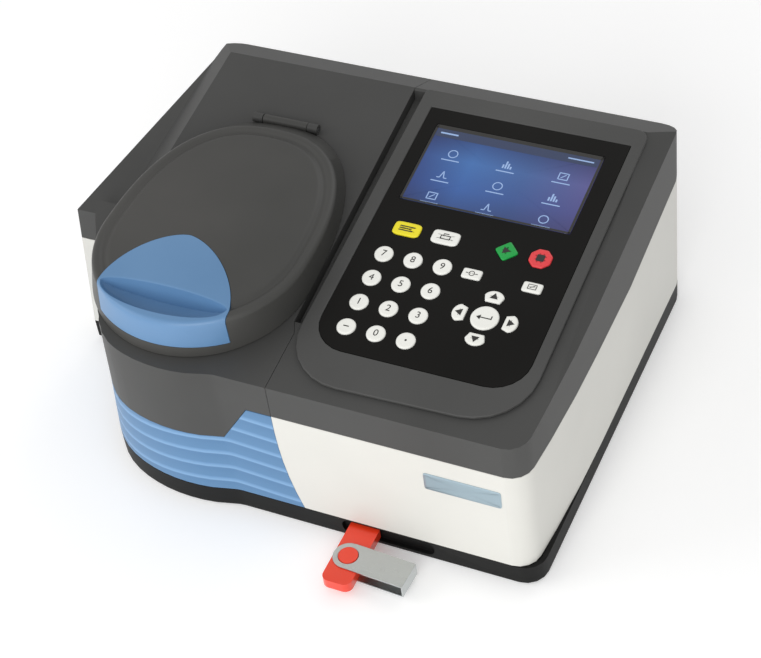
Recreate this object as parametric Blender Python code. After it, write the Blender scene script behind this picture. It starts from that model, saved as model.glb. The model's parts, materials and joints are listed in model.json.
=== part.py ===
"""Benchtop spectrophotometer: a low case with a sloping top, a round sample drum on the left under a hinged
lid, and a keypad console on the right, with optics, electronics, feet, rear fittings and a memory stick.

All values are millimetres and degrees; a mesh becomes metres when it is made. Shapes are written in a working
frame: x runs from 0 at the case's right side to minus CASE_WIDTH at its left, y from 0 at the flat front face
towards the back, z up from the table. SHIFT moves that frame so that the origin is under the middle of the
whole object. The console's pieces use a deck frame instead, which lies in the sloping top: x, v up the slope
and n out of it.
"""

from math import atan, ceil, cos, degrees, hypot, pi, radians, sin, sqrt, tan

import bpy

MM = 0.001
GAP = 0.3  # what touching pieces keep between them

# Overall sizes
CASE_WIDTH = 368.0  # at the floor
CASE_DEPTH = 273.0  # flat front face to back wall
REAR_PROUD = 2.0  # what the rear fittings stand out of the back wall
STICK_REACH = 45.0  # what the stick stands out of the front face
WALL = 3.0

# Heights
FOOT_PROUD = 1.2
BASE_TOP = 15.5
BASE_FLOOR = 3.0
SPLIT = 96.0  # lower case to covers, front and sides
SPLIT_REAR = 110.0  # the same at the back wall
SPLIT_BEND = 170.0  # y where that line starts to rise
DECK_FRONT = 121.0  # top of the front face
RIDGE_Y = 248.5  # y where the top turns down to the back
RIDGE_Z = 153.8
BACK_EDGE = 142.0  # top of the back wall

# Plan outline
SIDE_BULGE = 0.0004  # how fast the right side curves in, per mm, in front of its fullest place
SIDE_FULLEST = 110.0
CORNER = 14.0
DRUM_RADIUS = 108.0
DRUM_TO_LEFT = 133.0  # drum centre from the case's left edge
DRUM_FLAT = (210.0, 90.9, 0.087)  # the drum's flat left side: facing angle, reach at deck height, draft
DRUM_FLAT_BLEND = 24.0  # the higher, the sharper the corner between drum and flat
LEFT_DRAFT = 0.112  # what the left wall leans in per mm of height
DRUM_PROUD = 5.0  # what the drum stands out of the front face
SHOULDER_Y = 105.0  # where the rear box steps out beside the drum
LEFT_TAPER = 31.0  # what the left side moves in towards the back
DRUM_BLEND = 30.0  # hollow fillet from drum to front face

# Blue accent panel, seen from the front
ACCENT_TOP = 65.0
ACCENT_STEP = 20.0  # width of the slanted step at its right
ACCENT_STEP_FROM_DRUM = 31.0
SEAM_X = -167.0
ACCENT_FOOT_REACH = 11.0  # how far its right edge sweeps past the seam at the bottom
ACCENT_SWEEP = 2.4  # power of that sweep: upright at the top, flaring at the foot

# Fold along the left of the top
FOLD_FROM_DRUM = -75.0
FOLD_WIDE = 17.0
FOLD_DROP = 13.0

# Seam slot between the covers
SLOT_FRONT = 50.0
SLOT_NARROW = 5.0
SLOT_WIDE = 8.0
SLOT_DEEP = 7.0

# Console
BEZEL_OUTER = (-164.5, -12.5, 9.5, 249.5)  # x, x, v, v on the deck
BEZEL_CORNER = 38.0
BEZEL_TOP = 2.6
OVERLAY_MARGINS = (9.5, 8.0, 27.0, 14.5)  # bezel width at left, right, front and back
OVERLAY_CORNER = 22.0
OVERLAY_TOP = 2.2
CONSOLE_LEDGE = 5.0  # what the overlay rests on round the opening
DISPLAY = (110.9, 62.8)
DISPLAY_FROM_BACK = 45.2  # its centre from the overlay's rear edge
WINDOW_RIM = 1.1
KEY_PROUD = 0.9
KEY_TRAVEL = 0.8
KEY_FLANGE = 1.0
KEY_EDGE = 0.5
FLANGE_THICK = 1.5
NUMBER_KEY = 12.0
NUMBER_PITCH = 19.4
NUMBER_CENTRE = (-117.8, 83.2)  # of the block of 3 by 4 keys
WIDE_KEY = (18.0, 10.5)
SMALL_KEY = (12.5, 7.5)
PAD_CENTRE = (-59.4, 82.8)
PAD_REACH = 16.2
ENTER_KEY = 17.5
ARROW_KEY = 13.0

# Lid
LID_FROM_DRUM = -8.0  # lid centre line from the drum's, along x
LID_Y = 74.0
LID_HALF_WIDTH = 72.5
LID_FRONT = 70.0
LID_BACK = 120.0
LID_BACK_POWER = 2.5  # of the superellipse behind its widest place
LID_LEAN = 4.0  # what its wall leans in on the way up
LID_WALL = 3.0
LID_GAP = 1.0
LID_TOP = 150.5  # of its edge at the front
LID_RISE = 0.045  # per mm towards the back
LID_CROWN = 2.2
LID_OPENS = 78.0
HANDLE_HALF = 41.0
HANDLE_WAIST = 26.0  # y where its lobe begins
HANDLE_REACH = 78.5  # y of the lobe's tip
HANDLE_LIP_HALF = 45.0
HANDLE_LIP_LOW = 131.0
POCKET_HALF = 37.5
POCKET_FRONT = 10.0
POCKET_BACK = 31.5
POCKET_FLOOR = 138.5
HINGE_BARREL = 3.2
HINGE_PIN = 1.5
BARREL_LONG = 32.0
LUG_LONG = 7.0

# Sample compartment
WELL_Y = 92.0
WELL_SIZE = (70.0, 86.0)
WELL_FLOOR = 62.0
WELL_WALL = 2.0
WELL_FLANGE = 6.0
BEAM_Z = 92.0
BEAM_RADIUS = 4.0
CUVETTE = 12.6
HOLDER = 26.0
HOLDER_TALL = 44.0

# Stick and its port
STICK_X = -115.5
STICK_WIDE = 19.5
STICK_THICK = 7.0
STICK_Z = 9.0
PIVOT_Y = -24.0
CLIP_REACH = 41.5
CLIP_SHEET = 0.9
CLIP_TURN = -3.0
BOSS_RADIUS = 6.2
PLUG = (12.0, 4.5, 12.0)
PORT_RECESS = (62.0, 11.0, 3.0)
PORT_RECESS_X = -100.0

# Rear fittings
INLET_X = -60.0
INLET_Z = 48.0
SWITCH_X = -98.0
ROCKER_HALF = 12.0
ROCKER_TURN = 8.0
VENTS_FROM_DRUM = -40.0
VENTS = 9

SLOPE = atan((RIDGE_Z - DECK_FRONT) / RIDGE_Y)
DRUM_X = -CASE_WIDTH + DRUM_TO_LEFT
DRUM_Y = DRUM_RADIUS - DRUM_PROUD
LID_X = DRUM_X + LID_FROM_DRUM
FOLD_X = DRUM_X + FOLD_FROM_DRUM
HINGE_Y = LID_Y + LID_BACK + 1.5
SHIFT = (CASE_WIDTH / 2, -(CASE_DEPTH + REAR_PROUD - STICK_REACH) / 2, 0.0)


# ---------------------------------------------------------------- outlines


def deck(y):
    """Height of the sloping top at y."""
    return DECK_FRONT + y * tan(SLOPE)


HINGE_Z = deck(HINGE_Y) + 2.6


def arc(cx, cy, rx, ry, start, end, steps):
    """Points along an ellipse's arc, angles in degrees, both ends included."""
    turns = [radians(start + (end - start) * i / steps) for i in range(steps + 1)]
    return [(cx + rx * cos(a), cy + ry * sin(a)) for a in turns]


def filleted(corners, steps_each=None):
    """A closed outline through (x, y, radius) corners, rounded in 15 degree or set steps."""
    points = []
    for i, (x, y, radius) in enumerate(corners):
        ax, ay, _ = corners[i - 1]
        bx, by, _ = corners[(i + 1) % len(corners)]
        back, ahead = hypot(ax - x, ay - y), hypot(bx - x, by - y)
        ux, uy, wx, wy = (ax - x) / back, (ay - y) / back, (bx - x) / ahead, (by - y) / ahead
        cross, dot = ux * wy - uy * wx, ux * wx + uy * wy
        if radius <= 0 or abs(cross) < 1e-6:
            points.append((x, y))
            continue
        half = sqrt((1 - dot) / (1 + dot))  # tangent of half the corner's angle
        reach = min(radius / half, 0.49 * back, 0.49 * ahead)
        radius = reach * half
        mid = hypot(ux + wx, uy + wy)
        away = hypot(reach, radius)
        cx, cy = x + (ux + wx) / mid * away, y + (uy + wy) / mid * away
        turn = pi - 2 * atan(half)
        steps = steps_each or max(1, ceil(degrees(turn) / 15))
        px, py = x + ux * reach - cx, y + uy * reach - cy
        sense = -1 if cross > 0 else 1
        for k in range(steps + 1):
            a = sense * turn * k / steps
            points.append((cx + px * cos(a) - py * sin(a), cy + px * sin(a) + py * cos(a)))
    return points


def inset(outline, by):
    """The outline moved inwards by a distance, or outwards where it is negative; it runs counterclockwise."""
    moved = []
    for i, (x, y) in enumerate(outline):
        ax, ay = outline[i - 1]
        bx, by_ = outline[(i + 1) % len(outline)]
        e, f = hypot(x - ax, y - ay), hypot(bx - x, by_ - y)
        nx, ny, mx, my = -(y - ay) / e, (x - ax) / e, -(by_ - y) / f, (bx - x) / f
        share = by / (1 + nx * mx + ny * my)
        moved.append((x + (nx + mx) * share, y + (ny + my) * share))
    return moved


def circle(radius, steps):
    return arc(0, 0, radius, radius, 0, 360 - 360 / steps, steps - 1)


def rectangle(x0, x1, y0, y1, radius=0.0):
    return filleted([(x0, y0, radius), (x1, y0, radius), (x1, y1, radius), (x0, y1, radius)])


def centred(cx, cy, wide, deep, radius=0.0):
    return rectangle(cx - wide / 2, cx + wide / 2, cy - deep / 2, cy + deep / 2, radius)


def side_x(y):
    """The right side's place: it bulges slightly in front and is straight behind its fullest place."""
    return -SIDE_BULGE * min(y - SIDE_FULLEST, 0.0) ** 2


def drum_radius(angle, z):
    """Reach of the drum from its axis: round, with a drafted flat on its left, blended at their corner."""
    facing, reach, draft = DRUM_FLAT
    reach += draft * (DECK_FRONT - z)
    flat = reach / cos(radians(angle - facing))
    corner = reach / cos(radians(min(max(angle, facing), facing + 80) - facing))
    return min(flat, 1e3) * (1 + (corner / DRUM_RADIUS) ** DRUM_FLAT_BLEND) ** (-1 / DRUM_FLAT_BLEND)


def drum_point(angle, z):
    facing = DRUM_FLAT[0]
    radius = drum_radius(angle, z) if angle < facing + 80 else DRUM_RADIUS
    return DRUM_X + radius * cos(radians(angle)), DRUM_Y + radius * sin(radians(angle))


def plan_at(z, front_bulge):
    """Plan of the case at one height, counterclockwise from the front right corner."""
    left = LEFT_DRAFT * (z - BASE_TOP) - CASE_WIDTH
    stops = [SIDE_FULLEST * k / 3 for k in range(1, 4)]
    side = [(side_x(y) if front_bulge else 0.0, y, 0) for y in stops]
    foot = [(side_x(0) if front_bulge else 0.0, 0.0, CORNER)]
    back = [(0.0, CASE_DEPTH, CORNER), (LEFT_TAPER + left, CASE_DEPTH, CORNER)]
    inner_x, inner_y = drum_point(181.0, z)
    shoulder = [(left, SHOULDER_Y, 0.0), (inner_x, SHOULDER_Y, 0.0)]
    meets = degrees(atan(DRUM_Y / sqrt(DRUM_RADIUS**2 - DRUM_Y**2)))
    last = 351 - meets
    drum = [(*drum_point(183 + (last - 183) * k / 20, z), 0.0) for k in range(21)]
    front = [(DRUM_X + sqrt(DRUM_RADIUS**2 - DRUM_Y**2), 0.0, DRUM_BLEND)]
    return filleted(foot + side + back + shoulder + drum + front, steps_each=4)


def case_outline(z, front_bulge=True):
    """Plan of the case at a height, between its plans at the base and at the deck along straight lines."""
    share = (z - BASE_TOP) / (DECK_FRONT - BASE_TOP)
    low, high = plan_at(BASE_TOP, front_bulge), plan_at(DECK_FRONT, front_bulge)
    return [(a + (c - a) * share, b + (d - b) * share) for (a, b), (c, d) in zip(low, high)]


def lid_outline(by=0.0, steps=44):
    """The lid's egg, counterclockwise: half an ellipse in front, a fuller superellipse behind, one width."""
    wide = LID_HALF_WIDTH - by
    power = 2 / LID_BACK_POWER
    rear = []
    for x, y in arc(0, 0, 1, 1, 0, 180, steps // 2):
        across = wide * abs(x) ** power * (1 if x > 0 else -1)
        rear.append((LID_X + across, LID_Y + (LID_BACK - by) * max(y, 0.0) ** power))
    front = arc(LID_X, LID_Y, wide, LID_FRONT - by, 180, 360, steps // 2)
    return rear[:-1] + front[:-1]


def handle_outline(by=0.0):
    """Plan of the lid's handle: a lobe behind its waist, and straight sides down over the lid's front wall."""
    power = 2 / 1.75
    lobe = []
    for i in range(17):
        a = pi * i / 16
        c, s = cos(a), sin(a)
        reach = HANDLE_REACH - HANDLE_WAIST + by
        wide = (HANDLE_HALF + by) * abs(c) ** power * (1 if c > 0 else -1)
        lobe.append((LID_X + wide, HANDLE_WAIST + reach * abs(s) ** power))
    lip = HANDLE_LIP_HALF + by
    front = LID_Y - LID_FRONT - 8
    left, right, waist = LID_X - lip, LID_X + lip, HANDLE_WAIST - 2
    return lobe + [(left, waist), (left, front), (right, front), (right, waist)]


def pocket_outline():
    """The finger pocket in the handle: a lens between the lid's front edge and a flatter arc behind it."""
    mid = POCKET_FRONT + 0.72 * (POCKET_BACK - POCKET_FRONT)
    front = arc(LID_X, mid, POCKET_HALF, mid - POCKET_FRONT, 180, 360, 12)
    back = arc(LID_X, mid, POCKET_HALF, POCKET_BACK - mid, 0, 180, 8)
    return front + back[1:-1]


# ---------------------------------------------------------------- solids, each (points, faces)


def prism(outline, low, high):
    """The outline carried up from low to high, which are heights or functions of x and y."""
    at = lambda z, x, y: z(x, y) if callable(z) else z
    n = len(outline)
    points = [(x, y, at(low, x, y)) for x, y in outline] + [(x, y, at(high, x, y)) for x, y in outline]
    sides = [(i, (i + 1) % n, n + (i + 1) % n, n + i) for i in range(n)]
    return points, [tuple(range(n - 1, -1, -1)), tuple(range(n, 2 * n))] + sides


def case_block(low, high, by=0.0):
    """The case's outline carried up between two heights, moved inwards by a distance."""
    return lofted([[(x, y, z) for x, y in inset(case_outline(z), by)] for z in (low, high)])


def case_wall(low, high):
    """The case's wall between two heights, open at both ends."""
    outer = [case_outline(z) for z in (low, high)]
    n = len(outer[0])
    points = []
    for z, line in zip((low, high), outer):
        points += [(x, y, z) for ring in (line, inset(line, WALL)) for x, y in ring]
    faces = []
    for i in range(n):
        j = (i + 1) % n
        faces += [(i, j, 2 * n + j, 2 * n + i), (n + j, n + i, 3 * n + i, 3 * n + j)]
        faces += [(j, i, n + i, n + j), (2 * n + i, 2 * n + j, 3 * n + j, 3 * n + i)]
    return points, faces


def lofted(rings):
    """Rings of as many points each, joined from the first to the last, with both ends closed by a face."""
    n = len(rings[0])
    faces = [tuple(range(n - 1, -1, -1))]
    for k in range(len(rings) - 1):
        low, high = k * n, (k + 1) * n
        faces += [(low + i, low + (i + 1) % n, high + (i + 1) % n, high + i) for i in range(n)]
    faces.append(tuple(range((len(rings) - 1) * n, len(rings) * n)))
    return [p for ring in rings for p in ring], faces


def turned(profile, steps=24):
    """A round solid about z from (radius, height) pairs, bottom to top."""
    return lofted([[(x, y, z) for x, y in circle(radius, steps)] for radius, z in profile])


def rod(radius, half, steps):
    """A cylinder along x about the origin."""
    return along_x(turned([(radius, -half), (radius, half)], steps))


def block(x0, x1, y0, y1, z0, z1):
    return prism(rectangle(x0, x1, y0, y1), z0, z1)


def moved(solid, x=0.0, y=0.0, z=0.0):
    return [(a + x, b + y, c + z) for a, b, c in solid[0]], solid[1]


def along_x(solid):
    """Turns a solid whose axis is z so that the axis is x, keeping its faces outwards."""
    return [(z, x, y) for x, y, z in solid[0]], solid[1]


def along_y(solid):
    """Turns a solid whose axis is z so that the axis is y, keeping its faces outwards."""
    return [(y, z, x) for x, y, z in solid[0]], solid[1]


def spun(solid, angle):
    """Turns a solid about z by an angle in degrees."""
    c, s = cos(radians(angle)), sin(radians(angle))
    return [(x * c - y * s, x * s + y * c, z) for x, y, z in solid[0]], solid[1]


def joined(*solids):
    points, faces = [], []
    for more, sides in solids:
        faces += [tuple(i + len(points) for i in face) for face in sides]
        points += more
    return points, faces


def profile_across(outline_yz, x0, x1):
    """An outline in y and z, counterclockwise seen from +x, carried from x0 to x1."""
    return along_x(prism(outline_yz, x0, x1))


def elevation(outline_xz, y0, y1):
    """An outline in x and z, counterclockwise seen from the front, carried from y0 to y1."""
    turned_over = [(z, x) for x, z in outline_xz]
    return along_y(prism(turned_over[::-1], y0, y1))


# ---------------------------------------------------------------- materials and objects


def material(name, rgb, roughness, metallic=0.0, alpha=1.0):
    made = bpy.data.materials.new(name)
    made.use_nodes = True
    shader = made.node_tree.nodes["Principled BSDF"]
    shader.inputs["Base Color"].default_value = (*rgb, 1.0)
    shader.inputs["Roughness"].default_value = roughness
    shader.inputs["Metallic"].default_value = metallic
    shader.inputs["Alpha"].default_value = alpha
    made.diffuse_color = (*rgb, alpha)
    return made


def node(name, solid, finish, origin=(0.0, 0.0, 0.0), tilt=0.0):
    """Makes one object. Its points are given from origin, in the working frame turned about x by tilt."""
    mesh = bpy.data.meshes.new(name)
    mesh.from_pydata([(x * MM, y * MM, z * MM) for x, y, z in solid[0]], [], solid[1])
    mesh.materials.append(finish)
    mesh.shade_smooth()
    mesh.set_sharp_from_angle(angle=radians(32))
    made = bpy.data.objects.new(name, mesh)
    made.location = [(s + o) * MM for s, o in zip(SHIFT, origin)]
    made.rotation_euler = (radians(tilt), 0.0, 0.0)
    bpy.context.scene.collection.objects.link(made)
    return made


def about(origin, solid):
    """A solid written in the working frame, given from an origin instead."""
    return moved(solid, -origin[0], -origin[1], -origin[2])


def cutter(solid, origin=(0.0, 0.0, 0.0), tilt=0.0):
    made = node(f"cutter_{len(bpy.data.objects)}", solid, CUTTER, origin, tilt)
    made.hide_render = True
    made.display_type = "WIRE"
    return made


def combine(target, operation, tool):
    step = target.modifiers.new(operation.lower(), "BOOLEAN")
    step.operation = operation
    step.solver = "EXACT"
    step.object = tool
    return target


def cut(target, solid, origin=(0.0, 0.0, 0.0), tilt=0.0):
    return combine(target, "DIFFERENCE", cutter(solid, origin, tilt))


def add(target, solid, origin=(0.0, 0.0, 0.0), tilt=0.0):
    return combine(target, "UNION", cutter(solid, origin, tilt))


def keep(target, solid, origin=(0.0, 0.0, 0.0), tilt=0.0):
    return combine(target, "INTERSECT", cutter(solid, origin, tilt))


DECK = {"origin": (0.0, 0.0, DECK_FRONT), "tilt": degrees(SLOPE)}


def clear_scene():
    for old in list(bpy.data.objects):
        bpy.data.objects.remove(old, do_unlink=True)


# ---------------------------------------------------------------- base


def boss_places():
    """Posts on the base floor: four under the optical bench and four under the main board."""
    sides, ends = (BENCH_X[0] + 4, BENCH_X[1] - 8), (BENCH_Y[0] + 10, BENCH_Y[1] - 10)
    bench = [(DRUM_X + x, y, 10.0) for x in sides for y in ends]
    board = [(x, y, 7.0) for x in (-150, -26) for y in (66, 176)]
    return bench + board


BOSS_TOP = 20.0
BENCH_X = (-83.0, 49.0)  # the bench's sides from the drum's axis
BENCH_Y = (62.0, 240.0)


def make_base():
    outline = case_outline(BASE_TOP, front_bulge=False)
    base = node("base_pan", prism(outline, FOOT_PROUD, BASE_TOP), BLACK)
    cut(base, prism(inset(outline, WALL), FOOT_PROUD + BASE_FLOOR, BASE_TOP + 5))
    wide, tall, deep = PORT_RECESS
    half = wide / 2 + 4
    add(base, block(PORT_RECESS_X - half, PORT_RECESS_X + half, 1.0, 24.0, FOOT_PROUD + 1, BASE_TOP))
    for x, y, size in boss_places():
        add(base, moved(turned([(size / 2, FOOT_PROUD + 1), (size / 2, BOSS_TOP)], 16), x, y))
    recess = centred(PORT_RECESS_X, STICK_Z, wide, tall, tall * 0.45)
    cut(base, elevation(recess, -5, deep))
    port = centred(STICK_X, STICK_Z, PLUG[0] + 1.8, PLUG[1] + 1.8)
    cut(base, elevation(port, deep - 1, 30))
    for x, y in foot_places():
        cut(base, moved(turned([(8 + GAP, 0.0), (8 + GAP, FOOT_PROUD + 2.3)], 24), x, y))
    return base


def foot_places():
    left, right = DRUM_X - 55, -28.0
    return [(left, 28.0), (right, 24.0), (-CASE_WIDTH + 52, CASE_DEPTH - 26), (right, CASE_DEPTH - 26)]


def make_feet():
    names = ("front_left", "front_right", "rear_left", "rear_right")
    for name, (x, y) in zip(names, foot_places()):
        profile = [(7.2, 0.0), (8.0, 0.8), (8.0, FOOT_PROUD + 2.0)]
        node(f"foot_{name}", turned(profile, 24), RUBBER, origin=(x, y, 0.0))


# ---------------------------------------------------------------- case and covers


def split_profile(low, high, by=0.0):
    """Area under or over the line between lower case and covers, as y and z."""
    front, back = -20.0, CASE_DEPTH + 20
    rise = (SPLIT_REAR - SPLIT) / (CASE_DEPTH - SPLIT_BEND)
    line = [(back, SPLIT + rise * (back - SPLIT_BEND) + by), (SPLIT_BEND, SPLIT + by), (front, SPLIT + by)]
    if low is None:
        return line[::-1] + [(back, high), (front, high)]
    return [(front, low), (back, low)] + line


def accent_edges(by=0.0):
    """The accent panel seen from the front, as x and z: its right edge sweeps outwards towards the floor."""
    top, foot = SPLIT - GAP, BASE_TOP + GAP
    low, high = foot - by * 40, top + by * 40
    right = []
    for k in range(7):
        sweep = ACCENT_FOOT_REACH * (1 - k / 6) ** ACCENT_SWEEP
        right.append((SEAM_X + sweep - GAP / 2 + by, foot + (top - foot) * k / 6))
    if by:
        right.insert(0, (right[0][0], low))
    step = DRUM_X + ACCENT_STEP_FROM_DRUM + by
    left = -CASE_WIDTH - 5
    ledge = ACCENT_TOP + by
    right.append((right[-1][0], high))
    return right + [(step + ACCENT_STEP, high), (step, ledge), (left, ledge), (left, low)]


def cover_zone():
    """What the left cover's skirt may fill seen from the front: everything above the accent panel."""
    step = DRUM_X + ACCENT_STEP_FROM_DRUM
    low, top = ACCENT_TOP + GAP, SPLIT + GAP
    left, right = -CASE_WIDTH - 20, 20.0
    return [(left, low), (step, low), (step + ACCENT_STEP, top), (right, top), (right, 200), (left, 200)]


def make_lower_case():
    case = node("lower_case", case_wall(BASE_TOP + GAP, SPLIT_REAR + 10), WHITE)
    keep(case, profile_across(split_profile(0, None), -CASE_WIDTH - 20, 20))
    cut(case, elevation(accent_edges(GAP), -20, DRUM_Y - 8))
    cut(case, block(-CASE_WIDTH, DRUM_X - DRUM_RADIUS + 40, 40, SHOULDER_Y - 0.01, 0, 200))
    step = DRUM_X + ACCENT_STEP_FROM_DRUM + GAP
    over = -CASE_WIDTH - 20
    above = [(over, ACCENT_TOP), (step, ACCENT_TOP), (step + ACCENT_STEP, SPLIT + 3), (over, SPLIT + 3)]
    cut(case, elevation(above, -20, SHOULDER_Y - 0.01))
    openings = [elevation(centred(INLET_X, INLET_Z, 28, 20.5), CASE_DEPTH - 9, CASE_DEPTH + 5)]
    openings.append(elevation(centred(SWITCH_X, INLET_Z, 21, 29), CASE_DEPTH - 9, CASE_DEPTH + 5))
    for i in range(VENTS):
        x = DRUM_X + VENTS_FROM_DRUM + (i - (VENTS - 1) / 2) * 8
        openings.append(elevation(centred(x, INLET_Z + 6, 3.2, 44), CASE_DEPTH - 9, CASE_DEPTH + 5))
    cut(case, joined(*openings))
    return case


def make_accent():
    panel = node("accent_panel", case_wall(BASE_TOP + GAP, SPLIT - GAP), BLUE)
    keep(panel, elevation(accent_edges(), -20, SHOULDER_Y - GAP))
    cut(panel, block(DRUM_X, SEAM_X + 60, 30, 200, 0, 200))
    return panel


def roof(by=0.0):
    """The covers' side view as y and z: sloping deck, ridge and rear chamfer, lowered by a thickness."""
    fall = (RIDGE_Z - BACK_EDGE) / (CASE_DEPTH - RIDGE_Y)
    over = 20.0
    top = [(CASE_DEPTH + over, BACK_EDGE - fall * over), (RIDGE_Y, RIDGE_Z), (-over, deck(-over))]
    outline = [(-over, 30.0), (CASE_DEPTH + over, 30.0)] + top
    return outline if not by else [(y, z - (by if z > 35 else 0)) for y, z in outline]


def right_chamfer(by=0.0):
    """What is cut off the top's right edge: a face that narrows to nothing at the front."""
    back, inner = 218.0, -13.0
    rise = (143.0 - DECK_FRONT) / back
    fall = (deck(back) - 143.0) / inner
    height = lambda x, y: DECK_FRONT - by + rise * y + fall * x
    return prism(rectangle(-CASE_WIDTH / 2, 40, -40, CASE_DEPTH + 40), height, 260)


def left_fold(by=0.0):
    """What is cut off behind the shoulder: a band that falls to the left, then a level strip."""
    far = -CASE_WIDTH - 40
    rings = []
    for y in (SHOULDER_Y - 0.01 - by, CASE_DEPTH + 40):
        high = deck(y) - by
        low = high - FOLD_DROP
        line = [(FOLD_X, high), (FOLD_X - FOLD_WIDE, low), (far, low), (far, 260), (FOLD_X, 260)]
        rings.append([(x, y, z) for x, z in line])
    return lofted(rings)


def top_cuts(by=0.0):
    return right_chamfer(by), left_fold(by)


def slot_outline(by=0.0):
    """Plan of the slot between the covers: narrow in front, wider towards the ridge."""
    right = BEZEL_OUTER[0] - 1.0
    front, back = SLOT_FRONT - by, RIDGE_Y - 2.5 + by
    return [
        (right - SLOT_NARROW - by, front),
        (right + by, front),
        (right + by, back),
        (right - SLOT_WIDE - by, back),
    ]


def cover_half(left):
    """Plan of one cover's share of the top; the two meet along the seam and the slot's left wall."""
    slot_left_front = BEZEL_OUTER[0] - 1.0 - SLOT_NARROW
    slot_left_back = BEZEL_OUTER[0] - 1.0 - SLOT_WIDE
    gap = GAP / 2 if left else -GAP / 2
    line = [
        (SEAM_X - gap, -30.0),
        (SEAM_X - gap, SLOT_FRONT - 8),
        (slot_left_front - gap, SLOT_FRONT),
        (slot_left_back - gap, RIDGE_Y - 2.5),
        (slot_left_back - gap, CASE_DEPTH + 30),
    ]
    if left:
        return line + [(-CASE_WIDTH - 30, CASE_DEPTH + 30), (-CASE_WIDTH - 30, -30.0)]
    return line[::-1] + [(30.0, -30.0), (30.0, CASE_DEPTH + 30)]


def inner_space(name):
    """The space under the covers, as a hidden solid that is cut from them."""
    space = cutter(case_block(40, 250, WALL))
    space.name = name
    keep(space, profile_across(roof(WALL), -CASE_WIDTH - 20, 20))
    for piece in top_cuts(WALL):
        cut(space, piece)
    cut(space, prism(slot_outline(WALL), lambda x, y: deck(y) - SLOT_DEEP - WALL, 260))
    return space


def make_cover(name, left):
    cover = node(name, case_block(ACCENT_TOP - 10, 200), GREY)
    keep(cover, profile_across(roof(), -CASE_WIDTH - 20, 20))
    for piece in top_cuts():
        cut(cover, piece)
    cut(cover, prism(slot_outline(), lambda x, y: deck(y) - SLOT_DEEP, 260))
    combine(cover, "DIFFERENCE", inner_space(f"space_in_{name}"))
    keep(cover, elevation(cover_zone(), -30, CASE_DEPTH + 30))
    below = split_profile(0, None, GAP)
    behind = block(-CASE_WIDTH - 20, 30, SHOULDER_Y - 0.01, CASE_DEPTH + 30, 0, SPLIT + GAP)
    cut(cover, behind)
    cut(cover, profile_across(below_rear(below), -CASE_WIDTH - 20, 30))
    keep(cover, prism(cover_half(left), 0, 260))
    return cover


def below_rear(profile):
    """Only the part of the split profile behind the shoulder."""
    return [(max(y, SHOULDER_Y), z) for y, z in profile]


def make_left_cover():
    cover = make_cover("left_top_cover", left=True)
    wide, deep = WELL_SIZE
    reach = WELL_WALL + GAP
    cut(cover, prism(centred(LID_X, WELL_Y, wide + 2 * reach, deep + 2 * reach, 6), 90, 200))
    lug = along_x(turned([(HINGE_BARREL, 0), (HINGE_BARREL, LUG_LONG)], 20))
    for start in (-BARREL_LONG / 2 - GAP - LUG_LONG, BARREL_LONG / 2 + GAP):
        add(cover, moved(lug, LID_X + start, HINGE_Y, HINGE_Z))
    cut(cover, rod(HINGE_BARREL + 0.5, BARREL_LONG / 2 + GAP, 20), origin=HINGE)
    cut(cover, rod(HINGE_PIN + GAP, BARREL_LONG / 2 + LUG_LONG + 2, 16), origin=HINGE)
    return cover


def overlay_edges():
    x0, x1, v0, v1 = BEZEL_OUTER
    left, right, front, back = OVERLAY_MARGINS
    return x0 + left, x1 - right, v0 + front, v1 - back


def overlay_outline(by=0.0):
    """The overlay's outline moved inwards: round corners in front, nearly square ones behind."""
    x0, x1, v0, v1 = overlay_edges()
    x0, x1, v0, v1 = x0 + by, x1 - by, v0 + by, v1 - by
    front, back = OVERLAY_CORNER - by, 0.8
    return filleted([(x0, v0, front), (x1, v0, front), (x1, v1, back), (x0, v1, back)])


def make_right_cover():
    cover = make_cover("right_top_cover", left=False)
    opening = overlay_outline(CONSOLE_LEDGE)
    cut(cover, prism(opening, -20, 20), **DECK)
    return cover


# ---------------------------------------------------------------- console


def key_places():
    """Every key as name, centre, outline about that centre, and finish."""
    cx, cv = NUMBER_CENTRE
    rows = (("7", "8", "9"), ("4", "5", "6"), ("1", "2", "3"), ("minus", "0", "point"))
    round_key = circle(NUMBER_KEY / 2, 16)
    keys = []
    for r, row in enumerate(rows):
        for c, label in enumerate(row):
            place = (cx + (c - 1) * NUMBER_PITCH, cv + (1.5 - r) * NUMBER_PITCH)
            keys.append((f"key_{label}", place, round_key, KEY_WHITE))
    top_v = cv + 1.5 * NUMBER_PITCH + 22.0
    wide = centred(0, 0, *WIDE_KEY, 4.5)
    keys.append(("key_yellow", (cx - 13.0, top_v), wide, KEY_YELLOW))
    keys.append(("key_white", (cx + 12.7, top_v), wide, KEY_WHITE))
    px, pv = PAD_CENTRE
    small = centred(0, 0, *SMALL_KEY, 1.6)
    keys.append(("key_left_soft", (px - 19.6, cv + 1.5 * NUMBER_PITCH - 0.3), small, KEY_WHITE))
    keys.append(("key_right_soft", (px + 19.2, cv + 1.5 * NUMBER_PITCH - 0.3), small, KEY_WHITE))
    diamond = filleted([(7.8, 0, 2), (0, 7.8, 2), (-7.8, 0, 2), (0, -7.8, 2)])
    keys.append(("key_start", (px - 5.6, top_v), diamond, KEY_GREEN))
    octagon = [(7.6 * cos(radians(22.5 + 45 * i)), 7.6 * sin(radians(22.5 + 45 * i))) for i in range(8)]
    keys.append(("key_stop", (px + 16.2, top_v), octagon, KEY_RED))
    enter = circle(ENTER_KEY / 2, 20)
    keys.append(("key_enter", (px, pv), enter, KEY_WHITE))
    for name, turn in (("up", 90), ("left", 180), ("down", 270), ("right", 0)):
        a = radians(turn)
        place = (px + PAD_REACH * cos(a), pv + PAD_REACH * sin(a))
        keys.append((f"key_{name}", place, arrow_outline(turn), KEY_WHITE))
    return keys


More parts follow.
